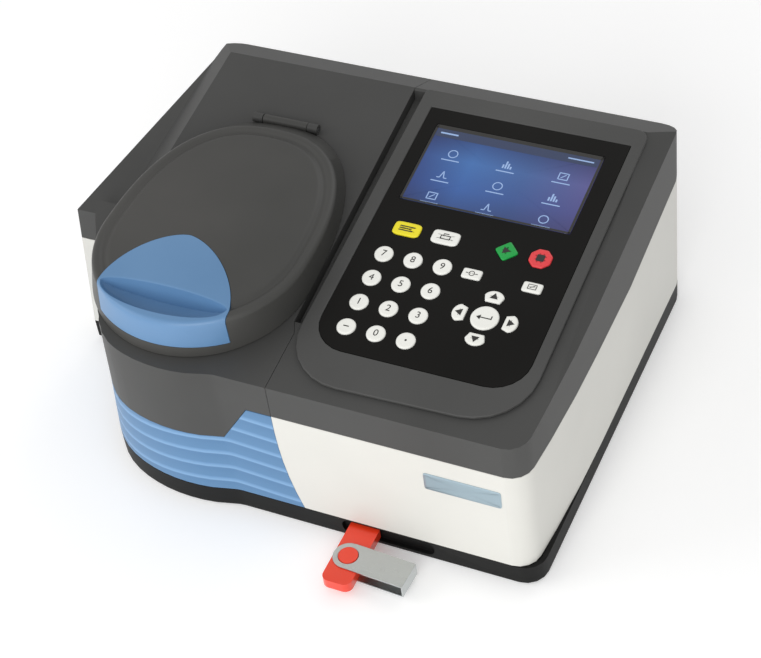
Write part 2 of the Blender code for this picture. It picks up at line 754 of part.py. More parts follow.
def arrow_outline(turn):
    """A D-shaped key, flat towards the enter key and round away from it."""
    half = ARROW_KEY / 2
    outline = arc(-1.0, 0, half * 0.86, half, -75, 75, 8)
    flat = [(-4.0, half * 0.72), (-4.0, -half * 0.72)]
    c, s = cos(radians(turn)), sin(radians(turn))
    return [(x * c - y * s, x * s + y * c) for x, y in outline + flat]


def shifted(outline, place):
    return [(x + place[0], y + place[1]) for x, y in outline]


def make_console():
    x0, x1, v0, v1 = BEZEL_OUTER
    outer = filleted([(x0, v0, BEZEL_CORNER), (x1, v0 + 4, BEZEL_CORNER), (x1, v1, 8.0), (x0, v1, 3.0)])
    bezel = node("console_bezel", prism(outer, GAP, BEZEL_TOP), GREY_LIGHT, **DECK)
    cut(bezel, prism(overlay_outline(-GAP), -5, 10), **DECK)
    overlay = node("keypad_overlay", prism(overlay_outline(), GAP, OVERLAY_TOP), OVERLAY, **DECK)
    width, height = DISPLAY[0] + 2 * WINDOW_RIM, DISPLAY[1] + 2 * WINDOW_RIM
    centre = display_centre()
    holes = [prism(centred(*centre, width + 2 * GAP, height + 2 * GAP, 1), -5, 10)]
    for _, place, outline, _ in key_places():
        holes.append(prism(shifted(inset(outline, -GAP), place), -5, 10))
    cut(overlay, joined(*holes), **DECK)
    pane = prism(centred(*centre, width, height, 1), GAP + 0.15, OVERLAY_TOP)
    node("display_window", pane, GLASS, **DECK)
    lcd_rim = 3.5
    unit = prism(centred(*centre, width + 2 * lcd_rim, height + 2 * lcd_rim, 2), -9.0, GAP / 2)
    node("display_module", unit, SCREEN, **DECK)


def display_centre():
    ox0, ox1, _, ov1 = overlay_edges()
    return ((ox0 + ox1) / 2 - 1.6, ov1 - DISPLAY_FROM_BACK)


def make_keys():
    under = -GAP - 0.2
    low = under - FLANGE_THICK
    top = OVERLAY_TOP + KEY_PROUD
    for name, place, outline, finish in key_places():
        flange = inset(outline, -KEY_FLANGE)
        rings = []
        cap = ((outline, under + 0.01), (outline, top - KEY_EDGE), (inset(outline, KEY_EDGE), top))
        for line, n in ((flange, low), (flange, under), *cap):
            rings.append([(x, y, n) for x, y in line])
        v = place[1]
        origin = (place[0], v * cos(SLOPE), DECK_FRONT + v * sin(SLOPE))
        node(name, lofted(rings), finish, origin=origin, tilt=degrees(SLOPE))
    board_top = low - KEY_TRAVEL - GAP
    x0, x1, v0, _ = overlay_edges()
    reach = CONSOLE_LEDGE + 1.0
    limit = display_centre()[1] - DISPLAY[1] / 2 - 6
    x0, x1, v0 = x0 + reach, x1 - reach, v0 + reach
    outline = filleted([(x0, v0, 16), (x1, v0, 16), (x1, limit, 2), (x0, limit, 2)])
    node("keypad_board", prism(outline, board_top - 1.6, board_top), BOARD, **DECK)


# ---------------------------------------------------------------- lid


def lid_height(x, y):
    """The lid's top at a place: it rises to the back and is crowned over its middle."""
    across = (x - LID_X) / LID_HALF_WIDTH
    depth = LID_BACK if y > LID_Y else LID_FRONT
    along = (y - LID_Y) / depth
    far = min(1.0, across**2 + along**2)
    return LID_TOP + LID_RISE * (y - LID_Y + LID_FRONT) + LID_CROWN * (1 - far)


def lid_rings(by):
    """Rings of the lid's skin from its rim to its crown, moved inwards by a wall."""
    rings = [[(x, y, deck(y) + LID_GAP) for x, y in lid_outline(by)]]
    for extra, drop in ((0.0, 7.0), (0.8, 3.0), (2.8, 0.8), (6.0, 0.0), (24.0, 0.0), (48.0, 0.0)):
        line = lid_outline(LID_LEAN + extra + by * 0.85)
        rings.append([(x, y, lid_height(x, y) - drop - by) for x, y in line])
    return rings


HINGE = (LID_X, HINGE_Y, HINGE_Z)


def make_lid():
    shell = node("lid_shell", about(HINGE, lofted(lid_rings(0.0))), GREY, origin=HINGE)
    inner = lid_rings(LID_WALL)
    inner[0] = [(x, y, z - 12) for x, y, z in inner[0]]
    cut(shell, about(HINGE, lofted(inner)), origin=HINGE)
    handle = prism(handle_outline(GAP), HANDLE_LIP_LOW - GAP, 200)
    cut(shell, about(HINGE, handle), origin=HINGE)
    half = BARREL_LONG / 2
    add(shell, rod(HINGE_BARREL, half, 20), origin=HINGE)
    cut(shell, rod(HINGE_PIN + GAP, half + 5, 16), origin=HINGE)


def make_lid_handle():
    handle = node("lid_handle", about(HINGE, lofted(lid_rings(0.0))), BLUE_DEEP, origin=HINGE)
    keep(handle, about(HINGE, prism(handle_outline(), HANDLE_LIP_LOW, 200)), origin=HINGE)
    under = POCKET_BACK + 3.0
    ceiling = lambda x, y: LID_TOP + LID_RISE * (y - LID_Y + LID_FRONT) - LID_WALL
    space = prism(rectangle(LID_X - LID_HALF_WIDTH, LID_X + LID_HALF_WIDTH, under, HINGE_Y), 60, ceiling)
    cut(handle, about(HINGE, space), origin=HINGE)
    cut(handle, about(HINGE, prism(pocket_outline(), POCKET_FLOOR, 200)), origin=HINGE)


def make_lid_fittings():
    lift = 5.5
    liner = [(x, y / cos(SLOPE)) for x, y in lid_outline(LID_WALL + LID_LEAN + 1.0)]
    plate = prism(liner, lift, lift + 1.8)
    made = node("lid_liner", plate, BLACK, **DECK)
    cut(made, prism(handle_outline(3), DECK_FRONT - 20, 200))
    node("lid_hinge_pin", rod(HINGE_PIN, BARREL_LONG / 2 + GAP + LUG_LONG, 16), STEEL, origin=HINGE)


# ---------------------------------------------------------------- sample compartment and optics


BEAM = (LID_X, WELL_Y, BEAM_Z)


def make_well():
    wide, deep = WELL_SIZE
    outer = centred(LID_X, WELL_Y, wide + 2 * WELL_WALL, deep + 2 * WELL_WALL, 5.5)
    well = node("sample_well", prism(outer, WELL_FLOOR - WELL_WALL, lambda x, y: deck(y) + 1.0), BLACK)
    v = WELL_Y / cos(SLOPE)
    edge = WELL_FLANGE + WELL_WALL
    flange = prism(centred(LID_X, v, wide + 2 * edge, deep + 2 * edge, 9), GAP, GAP + 1.5)
    add(well, flange, **DECK)
    cut(well, prism(centred(LID_X, WELL_Y, wide, deep, 4), WELL_FLOOR, 220))
    cut(well, rod(BEAM_RADIUS, wide, 16), origin=BEAM)
    low = WELL_FLOOR + GAP
    stand = prism(centred(LID_X, WELL_Y, HOLDER, HOLDER), low, low + HOLDER_TALL)
    holder = node("cuvette_holder", stand, ALUMINIUM)
    cut(holder, prism(centred(LID_X, WELL_Y, CUVETTE, CUVETTE), low + 5, low + HOLDER_TALL + 5))
    cut(holder, rod(BEAM_RADIUS, HOLDER, 16), origin=BEAM)


BENCH_TOP = BOSS_TOP + GAP + 6.0
LAMP_Y = 212.0


def make_optics():
    """The bench and what stands on it, placed from the drum's axis."""
    left, right = DRUM_X + BENCH_X[0], DRUM_X + BENCH_X[1]
    node("optical_bench", prism(rectangle(left, right, *BENCH_Y, 6), BOSS_TOP + GAP, BENCH_TOP), ALUMINIUM)
    low = BENCH_TOP + GAP
    well_left = LID_X - WELL_SIZE[0] / 2 - WELL_WALL - 4
    sensor = block(left, well_left, WELL_Y - 18, WELL_Y + 18, low, BEAM_Z + 16)
    cut(node("detector_module", sensor, BLACK), rod(BEAM_RADIUS, 10, 16), origin=(well_left, WELL_Y, BEAM_Z))
    make_lamp(low)
    make_filter_wheel(low)
    mirror = node("collimating_mirror", block(left + 2, left + 10, 190, 222, low, 102), ALUMINIUM)
    cut(mirror, rod(12, 1.5, 24), origin=(left + 10, 206, 84))
    make_grating(low)


def make_lamp(low):
    x, half, wall = DRUM_X + 23, 22.0, 3.0
    inner = half - wall
    shape = block(x - half, x + half, LAMP_Y - half, LAMP_Y + half, low, 108)
    housing = node("lamp_housing", shape, ALUMINIUM)
    cut(housing, block(x - inner, x + inner, LAMP_Y - inner, LAMP_Y + inner, low + wall, 120))
    cut(housing, rod(5.0, 10, 16), origin=(x - half, LAMP_Y, 80))
    foot = low + wall + GAP
    glass = [(9.0, 0), (9.0, 17), (4.0, 19), (7.0, 27), (7.0, 47), (3.0, 55)]
    bulb = [(radius, foot + rise) for radius, rise in glass]
    node("lamp_bulb", turned(bulb, 20), GLASS, origin=(x, LAMP_Y, 0))


def make_filter_wheel(low):
    """A disc with six ports on its motor's shaft."""
    place = (DRUM_X - 13, LAMP_Y, 66.0)
    wheel = node("filter_wheel", rod(20, 2, 32), BLACK, origin=place)
    ports = []
    for k in range(6):
        a = radians(60 * k + 30)
        ports.append(moved(rod(4, 5, 12), 0, 14 * cos(a), 14 * sin(a)))
    cut(wheel, joined(*ports), origin=place)
    add(wheel, along_x(turned([(2.5, -9), (2.5, 1)], 12)), origin=place)
    x, y, z = place
    motor = node("filter_motor", block(x - 32, x - 8, y - 13, y + 13, low, z + 13), DARK_METAL)
    cut(motor, rod(2.5 + GAP, 4, 12), origin=(x - 8, y, z))


def make_grating(low):
    """A turntable with its grating, on the shaft of the motor under it."""
    x, y, top = DRUM_X - 27, 164.0, 56.0
    drive = node("grating_motor", block(x - 18, x + 18, y - 15, y + 15, low, top), DARK_METAL)
    cut(drive, moved(turned([(2.5 + GAP, top - 10), (2.5 + GAP, top + 4)], 12), x, y))
    place = (x, y, top + GAP)
    table = node("grating_table", turned([(2.5, -8), (2.5, 1)], 12), ALUMINIUM, origin=place)
    add(table, turned([(15, 0.5), (15, 4)], 32), origin=place)
    add(table, block(-14, 14, -3, 3, 3, 36), origin=place)


# ---------------------------------------------------------------- electronics and rear fittings


def make_electronics():
    low = BOSS_TOP + GAP
    board = node("main_board", prism(rectangle(-156, -20, 60, 182, 3), low, low + 1.6), BOARD)
    chips = [(-120, 90, 30, 30, 4), (-70, 100, 22, 22, 3), (-50, 150, 40, 14, 9), (-125, 150, 26, 12, 8)]
    for x, y, wide, deep, tall in chips:
        add(board, block(x - wide / 2, x + wide / 2, y - deep / 2, y + deep / 2, low + 1, low + 1.6 + tall))
    floor = FOOT_PROUD + BASE_FLOOR + GAP
    node("power_supply", block(-158, -76, 192, 242, floor, floor + 34), DARK_METAL)


def make_power_entry():
    """One moulding in the back wall that holds the mains socket and the frame of the rocker switch."""
    y = CASE_DEPTH
    low_x, high_x = SWITCH_X - 12.5, INLET_X + 20
    plate = rectangle(low_x, high_x, INLET_Z - 16.5, INLET_Z + 16.5, 3)
    entry = node("power_entry", elevation(plate, y + GAP, y + REAR_PROUD), BLACK)
    add(entry, elevation(centred(INLET_X, INLET_Z, 27.2, 19.7), y - 24, y + 1))
    add(entry, elevation(centred(SWITCH_X, INLET_Z, 20.4, 28.4), y - 18, y + 1))
    mouth = [(-11.8, -7.4), (11.8, -7.4), (11.8, 3.8), (7.6, 8.0), (-7.6, 8.0), (-11.8, 3.8)]
    cut(entry, elevation([(INLET_X + a, INLET_Z + b) for a, b in mouth], y - 16, y + 5))
    blades = []
    for a, b in ((-7, -1), (0, 3), (7, -1)):
        blades.append(elevation(centred(INLET_X + a, INLET_Z + b, 2, 4), y - 18, y - 3))
    add(entry, joined(*blades))
    cut(entry, elevation(centred(SWITCH_X, INLET_Z, 16.4, 26.6), y - 16, y + 5))


def make_rocker():
    pivot = (SWITCH_X, CASE_DEPTH - 6.5, INLET_Z)
    rise = ROCKER_HALF * tan(radians(ROCKER_TURN))
    face, foot = 5.0, 5.0
    tip, edge = face + rise, face + rise - 3.5
    outline = [(-foot, -foot), (edge, -ROCKER_HALF), (tip, -ROCKER_HALF), (face, 0.0)]
    outline += [(tip, ROCKER_HALF), (edge, ROCKER_HALF), (-foot, foot)]
    c, s = cos(radians(-ROCKER_TURN)), sin(radians(-ROCKER_TURN))
    tilted = [(u * c - z * s, u * s + z * c) for u, z in outline]
    node("power_rocker", profile_across(tilted, -7.8, 7.8), BLACK, origin=pivot)


# ---------------------------------------------------------------- stick


def make_stick():
    _, _, deep = PORT_RECESS
    front = deep + GAP
    shell, clear = (centred(STICK_X, STICK_Z, PLUG[0] + by, PLUG[1] + by) for by in (1.2, 0.6))
    port = node("usb_port", elevation(shell, front, 20), STEEL)
    cut(port, elevation(clear, front - 2, 18))
    start = front - 1.2
    place = (STICK_X, start, STICK_Z)
    plug = elevation(centred(0, 0, PLUG[0], PLUG[1]), GAP, PLUG[2])
    node("stick_plug", plug, STEEL, origin=place)
    half = STICK_WIDE / 2
    plan = filleted([(-half, -STICK_REACH, 5), (half, -STICK_REACH, 5), (half, start, 1), (-half, start, 1)])
    low, high = -STICK_THICK / 2, STICK_THICK / 2
    body = node("stick_body", about((0, start, 0), prism(plan, low, high)), RED, origin=place)
    post = CLIP_SHEET + GAP + 0.5
    boss = turned([(BOSS_RADIUS, low - post), (BOSS_RADIUS, high + post)], 28)
    add(body, boss, origin=(STICK_X, PIVOT_Y, STICK_Z))
    make_clip(low, high)


def make_clip(low, high):
    """A folded sheet round the stick: two plates with round ends at the pivot, joined at the far end."""
    half = STICK_WIDE / 2
    plate = arc(0, 0, half, half, 90, 270, 12) + [(CLIP_REACH, -half), (CLIP_REACH, half)]
    bottom, top = low - GAP - CLIP_SHEET, high + GAP + CLIP_SHEET
    pivot = (STICK_X, PIVOT_Y, STICK_Z)
    clip = node("stick_clip", spun(prism(plate, bottom, top), CLIP_TURN), STEEL, origin=pivot)
    inside = rectangle(-half - 5, CLIP_REACH - CLIP_SHEET, -half - 5, half + 5)
    cut(clip, spun(prism(inside, bottom + CLIP_SHEET, top - CLIP_SHEET), CLIP_TURN), origin=pivot)
    hole = BOSS_RADIUS + GAP
    cut(clip, turned([(hole, bottom - 5), (hole, top + 5)], 28), origin=pivot)


clear_scene()
CUTTER = material("helper", (0.8, 0.2, 0.8), 1.0)
BLACK = material("black_plastic", (0.012, 0.012, 0.013), 0.5)
RUBBER = material("rubber", (0.02, 0.02, 0.02), 0.9)
WHITE = material("white_plastic", (0.78, 0.78, 0.74), 0.45)
BLUE = material("blue_plastic", (0.19, 0.38, 0.65), 0.45)
BLUE_DEEP = material("handle_blue_plastic", (0.15, 0.33, 0.6), 0.45)
GREY = material("grey_plastic", (0.08, 0.078, 0.075), 0.55)
GREY_LIGHT = material("bezel_grey_plastic", (0.11, 0.11, 0.108), 0.5)
OVERLAY = material("keypad_film", (0.018, 0.016, 0.014), 0.4)
GLASS = material("clear_window", (0.6, 0.7, 0.85), 0.1, alpha=0.35)
SCREEN = material("display", (0.05, 0.13, 0.45), 0.3)
KEY_WHITE = material("white_key", (0.85, 0.85, 0.82), 0.45)
KEY_YELLOW = material("yellow_key", (0.86, 0.74, 0.02), 0.45)
KEY_GREEN = material("green_key", (0.01, 0.32, 0.05), 0.45)
KEY_RED = material("red_key", (0.75, 0.06, 0.07), 0.45)
BOARD = material("circuit_board", (0.02, 0.18, 0.06), 0.6)
ALUMINIUM = material("aluminium", (0.6, 0.6, 0.6), 0.35, 1.0)
STEEL = material("steel", (0.5, 0.52, 0.52), 0.25, 1.0)
DARK_METAL = material("dark_metal", (0.08, 0.08, 0.09), 0.4, 0.8)
RED = material("red_plastic", (0.78, 0.04, 0.01), 0.4)

make_base()
make_feet()
make_lower_case()
make_accent()
make_left_cover()
make_right_cover()
make_console()
make_keys()
make_lid()
make_lid_handle()
make_lid_fittings()
make_well()
make_optics()
make_electronics()
make_power_entry()
make_rocker()
make_stick()
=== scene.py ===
"""Looks of a benchtop spectrophotometer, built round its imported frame.

Lengths are millimetres until a mesh is made. The working frame has x running left from 0 at the case's right
side, y back from its flat front and z up; the console's pieces use the sloping top's own frame of x, v up the
slope and n out of it.
"""

import json
from math import atan, cos, pi, radians, sin, tan

import bmesh
import bpy
import numpy as np
from mathutils import Matrix, Vector

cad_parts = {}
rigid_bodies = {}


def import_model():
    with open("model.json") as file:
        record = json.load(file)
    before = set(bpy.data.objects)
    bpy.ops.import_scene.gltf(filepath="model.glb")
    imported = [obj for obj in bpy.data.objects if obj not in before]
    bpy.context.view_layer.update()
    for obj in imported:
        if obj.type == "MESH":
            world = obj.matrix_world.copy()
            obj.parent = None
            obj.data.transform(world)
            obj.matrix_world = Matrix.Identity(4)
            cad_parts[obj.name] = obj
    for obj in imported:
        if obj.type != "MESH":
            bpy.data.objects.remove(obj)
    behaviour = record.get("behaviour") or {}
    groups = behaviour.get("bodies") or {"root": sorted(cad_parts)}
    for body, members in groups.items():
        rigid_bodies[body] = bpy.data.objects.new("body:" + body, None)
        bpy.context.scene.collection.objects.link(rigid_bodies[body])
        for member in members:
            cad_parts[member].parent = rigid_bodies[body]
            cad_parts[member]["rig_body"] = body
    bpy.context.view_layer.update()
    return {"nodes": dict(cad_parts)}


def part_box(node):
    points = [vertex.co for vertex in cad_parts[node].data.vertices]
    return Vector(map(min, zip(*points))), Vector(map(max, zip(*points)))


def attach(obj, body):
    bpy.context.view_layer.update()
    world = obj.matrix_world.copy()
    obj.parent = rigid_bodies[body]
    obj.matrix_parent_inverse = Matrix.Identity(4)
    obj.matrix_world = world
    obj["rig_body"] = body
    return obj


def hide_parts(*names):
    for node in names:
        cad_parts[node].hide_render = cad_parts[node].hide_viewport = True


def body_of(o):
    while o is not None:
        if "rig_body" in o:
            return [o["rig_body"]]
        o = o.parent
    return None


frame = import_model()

MM = 0.001
nodes = frame["nodes"]

# ---------------------------------------------------------------- places, from the frame

CASE_DEPTH = 273.0  # flat front face to back wall
DECK_FRONT = 121.0  # the sloping top's height over the front face
DECK_RISE, DECK_RUN = 32.8, 248.5
DECK_SLOPE = atan(DECK_RISE / DECK_RUN)
UP_SLOPE = np.array((0.0, cos(DECK_SLOPE), sin(DECK_SLOPE)))
OUT_OF_DECK = np.array((0.0, -sin(DECK_SLOPE), cos(DECK_SLOPE)))
case_corner = np.array(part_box("lower_case")[1]) / MM
SHIFT = np.array((case_corner[0], case_corner[1] - CASE_DEPTH, 0.0))  # from the working frame to the model's


def middle(node):
    """The middle of a node's box in the working frame."""
    low, high = (np.array(corner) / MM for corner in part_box(node))
    return (low + high) / 2 - SHIFT


def deck_place(x, v, n):
    """Points of the sloping top's frame in the working frame: origin + x + v up the slope + n out of it."""
    x, v, n = np.broadcast_arrays(x, v, n)
    base = np.stack([x, np.zeros_like(x), np.full_like(x, DECK_FRONT, dtype=float)], -1)
    return base + v[..., None] * UP_SLOPE + n[..., None] * OUT_OF_DECK


def on_deck(place):
    """x and v of a place in the working frame."""
    rise = place - np.array((0.0, 0.0, DECK_FRONT))
    return rise[0], rise @ UP_SLOPE


def deck_height(y):
    """The sloping top's height at a y of the working frame."""
    return DECK_FRONT + y * tan(DECK_SLOPE)


LID_X, LID_Y = middle("lid_shell")[0], 74.0  # the widest place of the lid's plan
LID_HALF, LID_FRONT, LID_BACK = 72.5, 70.0, 120.0  # its reach from there to the sides, front and back
LID_TOP, LID_RISE, LID_CROWN = 150.5, 0.045, 2.2  # height at the front, rise per mm, swell of the middle
LID_LEAN_LEFT, LID_LEAN_BACK = 5.0, 14.0  # how far the wall leans in on its way up
LID_WALL = 2.6
LID_RIM, LID_VALLEY = 3.4, 1.6  # radius of the rim, depth of the valley inside it
HANDLE_HALF, HANDLE_WAIST, HANDLE_TIP = 45.0, 24.0, 73.5  # half width; where the lobe starts and ends
HANDLE_SHEAR, HANDLE_WALL, HANDLE_PROUD = 0.12, 2.4, 0.2
HANDLE_FOOT, HANDLE_GAP = 131.0, 0.35  # its lower edge, and the joint line between it and the lid
POCKET_HALF, POCKET_Y, POCKET_DEPTH = 43.0, 25.5, 13.0
POCKET_FRONT, POCKET_BACK = 15.0, 6.0  # reach of the pocket's two half ellipses


def body_with(node):
    """The name of the body that a node rides on."""
    return body_of(nodes[node])[0]


# ---------------------------------------------------------------- meshes


def grid_faces(rows, columns, first=0):
    """Quads between closed rows of points: each point with the next in its row and the two above."""
    row = first + np.arange(rows - 1)[:, None] * columns
    here = np.arange(columns)[None, :]
    ahead = (here + 1) % columns
    return np.stack([row + here, row + ahead, row + columns + ahead, row + columns + here], -1).reshape(-1, 4)


def piece(name, points, faces, finish, body, angle=35.0):
    """One mesh object at the origin from working-frame points; it rides on a body."""
    mesh = bpy.data.meshes.new(name)
    mesh.from_pydata(((points + SHIFT) * MM).tolist(), [], [tuple(face) for face in faces])
    mesh.materials.append(finish)
    mesh.shade_smooth()
    mesh.set_sharp_from_angle(angle=radians(angle))
    made = bpy.data.objects.new(name, mesh)
    bpy.context.scene.collection.objects.link(made)
    if body:
        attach(made, body)
    return made


def closed_loft(rings):
    """Points and faces of a closed solid through rings, each end closed by a fan about its ring's mean."""
    count, columns, _ = rings.shape
    points = np.concatenate([rings.reshape(-1, 3), rings[[0, -1]].mean(axis=1)])
    faces = grid_faces(count, columns).tolist()
    here = np.arange(columns)
    ahead = (here + 1) % columns
    last = (count - 1) * columns
    low, high = count * columns, count * columns + 1
    faces += np.stack([ahead, here, np.full(columns, low)], -1).tolist()
    faces += np.stack([last + here, last + ahead, np.full(columns, high)], -1).tolist()
    return points, faces


def joined(parts):
    """Several closed solids as one set of points and faces."""
    points, faces, first = [], [], 0
    for more, sides in parts:
        points.append(more)
        faces += [[i + first for i in side] for side in sides]
        first += len(more)
    return np.concatenate(points), faces


def inset(outline, by):
    """An outline (n, 2) moved inwards along the mean of its two sides' normals, divided by their overlap."""
    ahead = np.roll(outline, -1, axis=0) - outline
    ahead /= np.linalg.norm(ahead, axis=1)[:, None]
    normal = np.stack([-ahead[:, 1], ahead[:, 0]], -1)
    before = np.roll(normal, 1, axis=0)
    share = by / (1 + (normal * before).sum(axis=1))
    return outline + (normal + before) * share[:, None]


def rounded(half_x, half_y, power=4.0, steps=64):
    """A superellipse: |x / half_x| to a power plus |y / half_y| to it is one."""
    turn = np.arange(steps) * 2 * pi / steps
    c, s = np.cos(turn), np.sin(turn)
    grow = 2 / power
    return np.stack([half_x * np.sign(c) * np.abs(c) ** grow, half_y * np.sign(s) * np.abs(s) ** grow], -1)


def polygon(corners, radius=0.0, steps=4):
    """Straight sides between corners, each corner cut to an arc that starts a radius before it."""
    corners = np.array(corners, dtype=float)
    if not radius:
        return corners
    before = np.roll(corners, 1, axis=0) - corners
    after = np.roll(corners, -1, axis=0) - corners
    before *= radius / np.linalg.norm(before, axis=1)[:, None]
    after *= radius / np.linalg.norm(after, axis=1)[:, None]
    t = np.linspace(0, 1, steps + 1)[None, :, None]
    bend = (1 - t) ** 2 * before[:, None] + t**2 * after[:, None]
    return (corners[:, None] + bend).reshape(-1, 2)


def deck_rings(outline, profile, centre):
    """Rings of an outline about a centre on the deck, one for each (inset, height) of a profile."""
    rings = []
    for by, height in profile:
        line = inset(outline, by) if by else outline
        rings.append(deck_place(line[:, 0] + centre[0], line[:, 1] + centre[1], height))
    return np.stack(rings)


def boolean(target, operation, tool):
    """The target's mesh after one Boolean of closed meshes with a tool, which is then removed."""
    step = target.modifiers.new(operation.lower(), "BOOLEAN")
    step.operation, step.solver, step.object = operation, "MANIFOLD", tool
    settled = bpy.data.meshes.new_from_object(target.evaluated_get(bpy.context.evaluated_depsgraph_get()))
    target.modifiers.clear()
    target.data = settled
    bpy.data.objects.remove(tool, do_unlink=True)
    target.data.set_sharp_from_angle(angle=radians(35))


def softened(node, name, finish, width, angle=28.0):
    """A copy of a CAD piece with its doubles merged, its flat faces made whole and its edges rounded."""
    mesh = nodes[node].data.copy()
    work = bmesh.new()
    work.from_mesh(mesh)
    bmesh.ops.remove_doubles(work, verts=work.verts, dist=2e-6)
    bmesh.ops.dissolve_limit(work, angle_limit=radians(0.4), verts=work.verts, edges=work.edges)
    work.to_mesh(mesh)
    work.free()
    mesh.materials.clear()
    mesh.materials.append(finish)
    mesh.shade_smooth()
    mesh.set_sharp_from_angle(angle=radians(angle))
    made = bpy.data.objects.new(name, mesh)
    bpy.context.scene.collection.objects.link(made)
    bevel = made.modifiers.new("rounded edges", "BEVEL")
    bevel.width = width * MM
    bevel.segments = 3
    bevel.angle_limit = radians(angle)
    bevel.harden_normals = True
    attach(made, body_with(node))
    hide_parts(node)
    return made


# ---------------------------------------------------------------- finishes


def linear(colour):
    """An sRGB hex colour as linear red, green, blue and one."""
    parts = [int(colour[i : i + 2], 16) / 255 for i in (0, 2, 4)]
    return [p / 12.92 if p <= 0.04045 else ((p + 0.055) / 1.055) ** 2.4 for p in parts] + [1.0]


def socket_of(key):
    """A socket's number from in_ and a number, or its label from a name with underscores."""
    return int(key[3:]) if key.startswith("in_") else key.replace("_", " ")


def add_node(tree, kind, settings=None, **links):
    """A new node with its attributes, sockets and ramp stops set, linked from (node, output) pairs."""
    made = tree.nodes.new(kind)
    for key, value in (settings or {}).items():
        if key == "stops":
            while len(made.color_ramp.elements) < len(value):
                made.color_ramp.elements.new(0.5)
            for element, (position, colour) in zip(made.color_ramp.elements, value):
                element.position = position
                element.color = linear(colour)
        elif hasattr(made, key):
            setattr(made, key, value)
        else:
            made.inputs[socket_of(key)].default_value = value
    for key, (source, output) in links.items():
        tree.links.new(source.outputs[output], made.inputs[socket_of(key)])
    return made


def new_finish(name, colour, roughness, metallic=0.0, **more):
    """A material whose shader has one colour, roughness and metallic value, and any other socket's value."""
    made = bpy.data.materials.new(name)
    made.use_nodes = True
    shader = made.node_tree.nodes["Principled BSDF"]
    shader.inputs["Base Color"].default_value = linear(colour)
    shader.inputs["Roughness"].default_value = roughness
    shader.inputs["Metallic"].default_value = metallic
    for key, value in more.items():
        shader.inputs[key.replace("_", " ")].default_value = value
    made.diffuse_color = linear(colour)
    return made, made.node_tree, shader


def moulded(name, colour, roughness, grain=0.7, depth=0.05, light="", dark="", **more):
    """Injection-moulded plastic from a spark-eroded tool.

    The eye sees an even matt grain, as wide and as deep as given in mm, over a slow drift of shade and gloss
    in patches about 110 mm across, from the flow of the melt.
    """
    made, tree, shader = new_finish(name, colour, roughness, **more)
    place = add_node(tree, "ShaderNodeTexCoord")
    fine = add_node(tree, "ShaderNodeTexNoise", {"Scale": 1 / (grain * MM), "Detail": 3.0, "Roughness": 0.6},
                    Vector=(place, "Object"))
    slow = add_node(tree, "ShaderNodeTexNoise", {"Scale": 1 / 0.111, "Detail": 4.0}, Vector=(place, "Object"))
    shade = add_node(tree, "ShaderNodeValToRGB", {"stops": [(0.3, dark or colour), (0.7, light or colour)]},
                     Fac=(slow, "Fac"))
    tree.links.new(shade.outputs["Color"], shader.inputs["Base Color"])
    gloss = add_node(tree, "ShaderNodeMapRange", {"To_Min": roughness - 0.05, "To_Max": roughness + 0.07},
                     Value=(slow, "Fac"))
    tree.links.new(gloss.outputs["Result"], shader.inputs["Roughness"])
    bump = add_node(tree, "ShaderNodeBump", {"Strength": 0.5, "Distance": depth * MM}, Height=(fine, "Fac"))
    tree.links.new(bump.outputs["Normal"], shader.inputs["Normal"])
    return made


HIGHLIGHT_BAND_PITCH = 12.8  # height from one pale band of painted highlight on the accent panel to the next
HIGHLIGHT_BAND_WAVE, HIGHLIGHT_BAND_SWING = 48.0, 1.6  # the bands' wave: radians per metre across, millimetres up and down


def highlight_banded_blue():
    """The accent panel's moulded ABS, with paler bands of painted highlight across it.

    A band's shade comes from the fractional part of (height + swing times the sine of x) over the pitch. The
    grain of the moulding shows as a fine matt bump.
    """
    made, tree, shader = new_finish("accent_blue_abs", "547FA8", 0.42)
    place = add_node(tree, "ShaderNodeTexCoord")
    parts = add_node(tree, "ShaderNodeSeparateXYZ", Vector=(place, "Object"))
    angle = add_node(tree, "ShaderNodeMath", {"operation": "MULTIPLY", "in_1": HIGHLIGHT_BAND_WAVE}, in_0=(parts, "X"))
    wave = add_node(tree, "ShaderNodeMath", {"operation": "SINE"}, in_0=(angle, "Value"))
    rise = add_node(tree, "ShaderNodeMath", {"operation": "MULTIPLY_ADD", "in_1": HIGHLIGHT_BAND_SWING * MM},
                    in_0=(wave, "Value"), in_2=(parts, "Z"))
    count = add_node(tree, "ShaderNodeMath", {"operation": "MULTIPLY", "in_1": 1 / (HIGHLIGHT_BAND_PITCH * MM)},
                     in_0=(rise, "Value"))
    within = add_node(tree, "ShaderNodeMath", {"operation": "FRACT"}, in_0=(count, "Value"))
    # the stops at 0.74 and 0.93 are painted highlight; the others are the panel's own blue
    stops = [(0.0, "5681AA"), (0.66, "507BA4"), (0.74, "7AA3CB"), (0.93, "628DB8"), (1.0, "5681AA")]
    colours = add_node(tree, "ShaderNodeValToRGB", {"stops": stops}, Fac=(within, "Value"))
    tree.links.new(colours.outputs["Color"], shader.inputs["Base Color"])
    fine = add_node(tree, "ShaderNodeTexNoise", {"Scale": 1600.0, "Detail": 2.0}, Vector=(place, "Object"))
    bump = add_node(tree, "ShaderNodeBump", {"Strength": 0.4, "Distance": 0.04 * MM}, Height=(fine, "Fac"))
    tree.links.new(bump.outputs["Normal"], shader.inputs["Normal"])
    return made


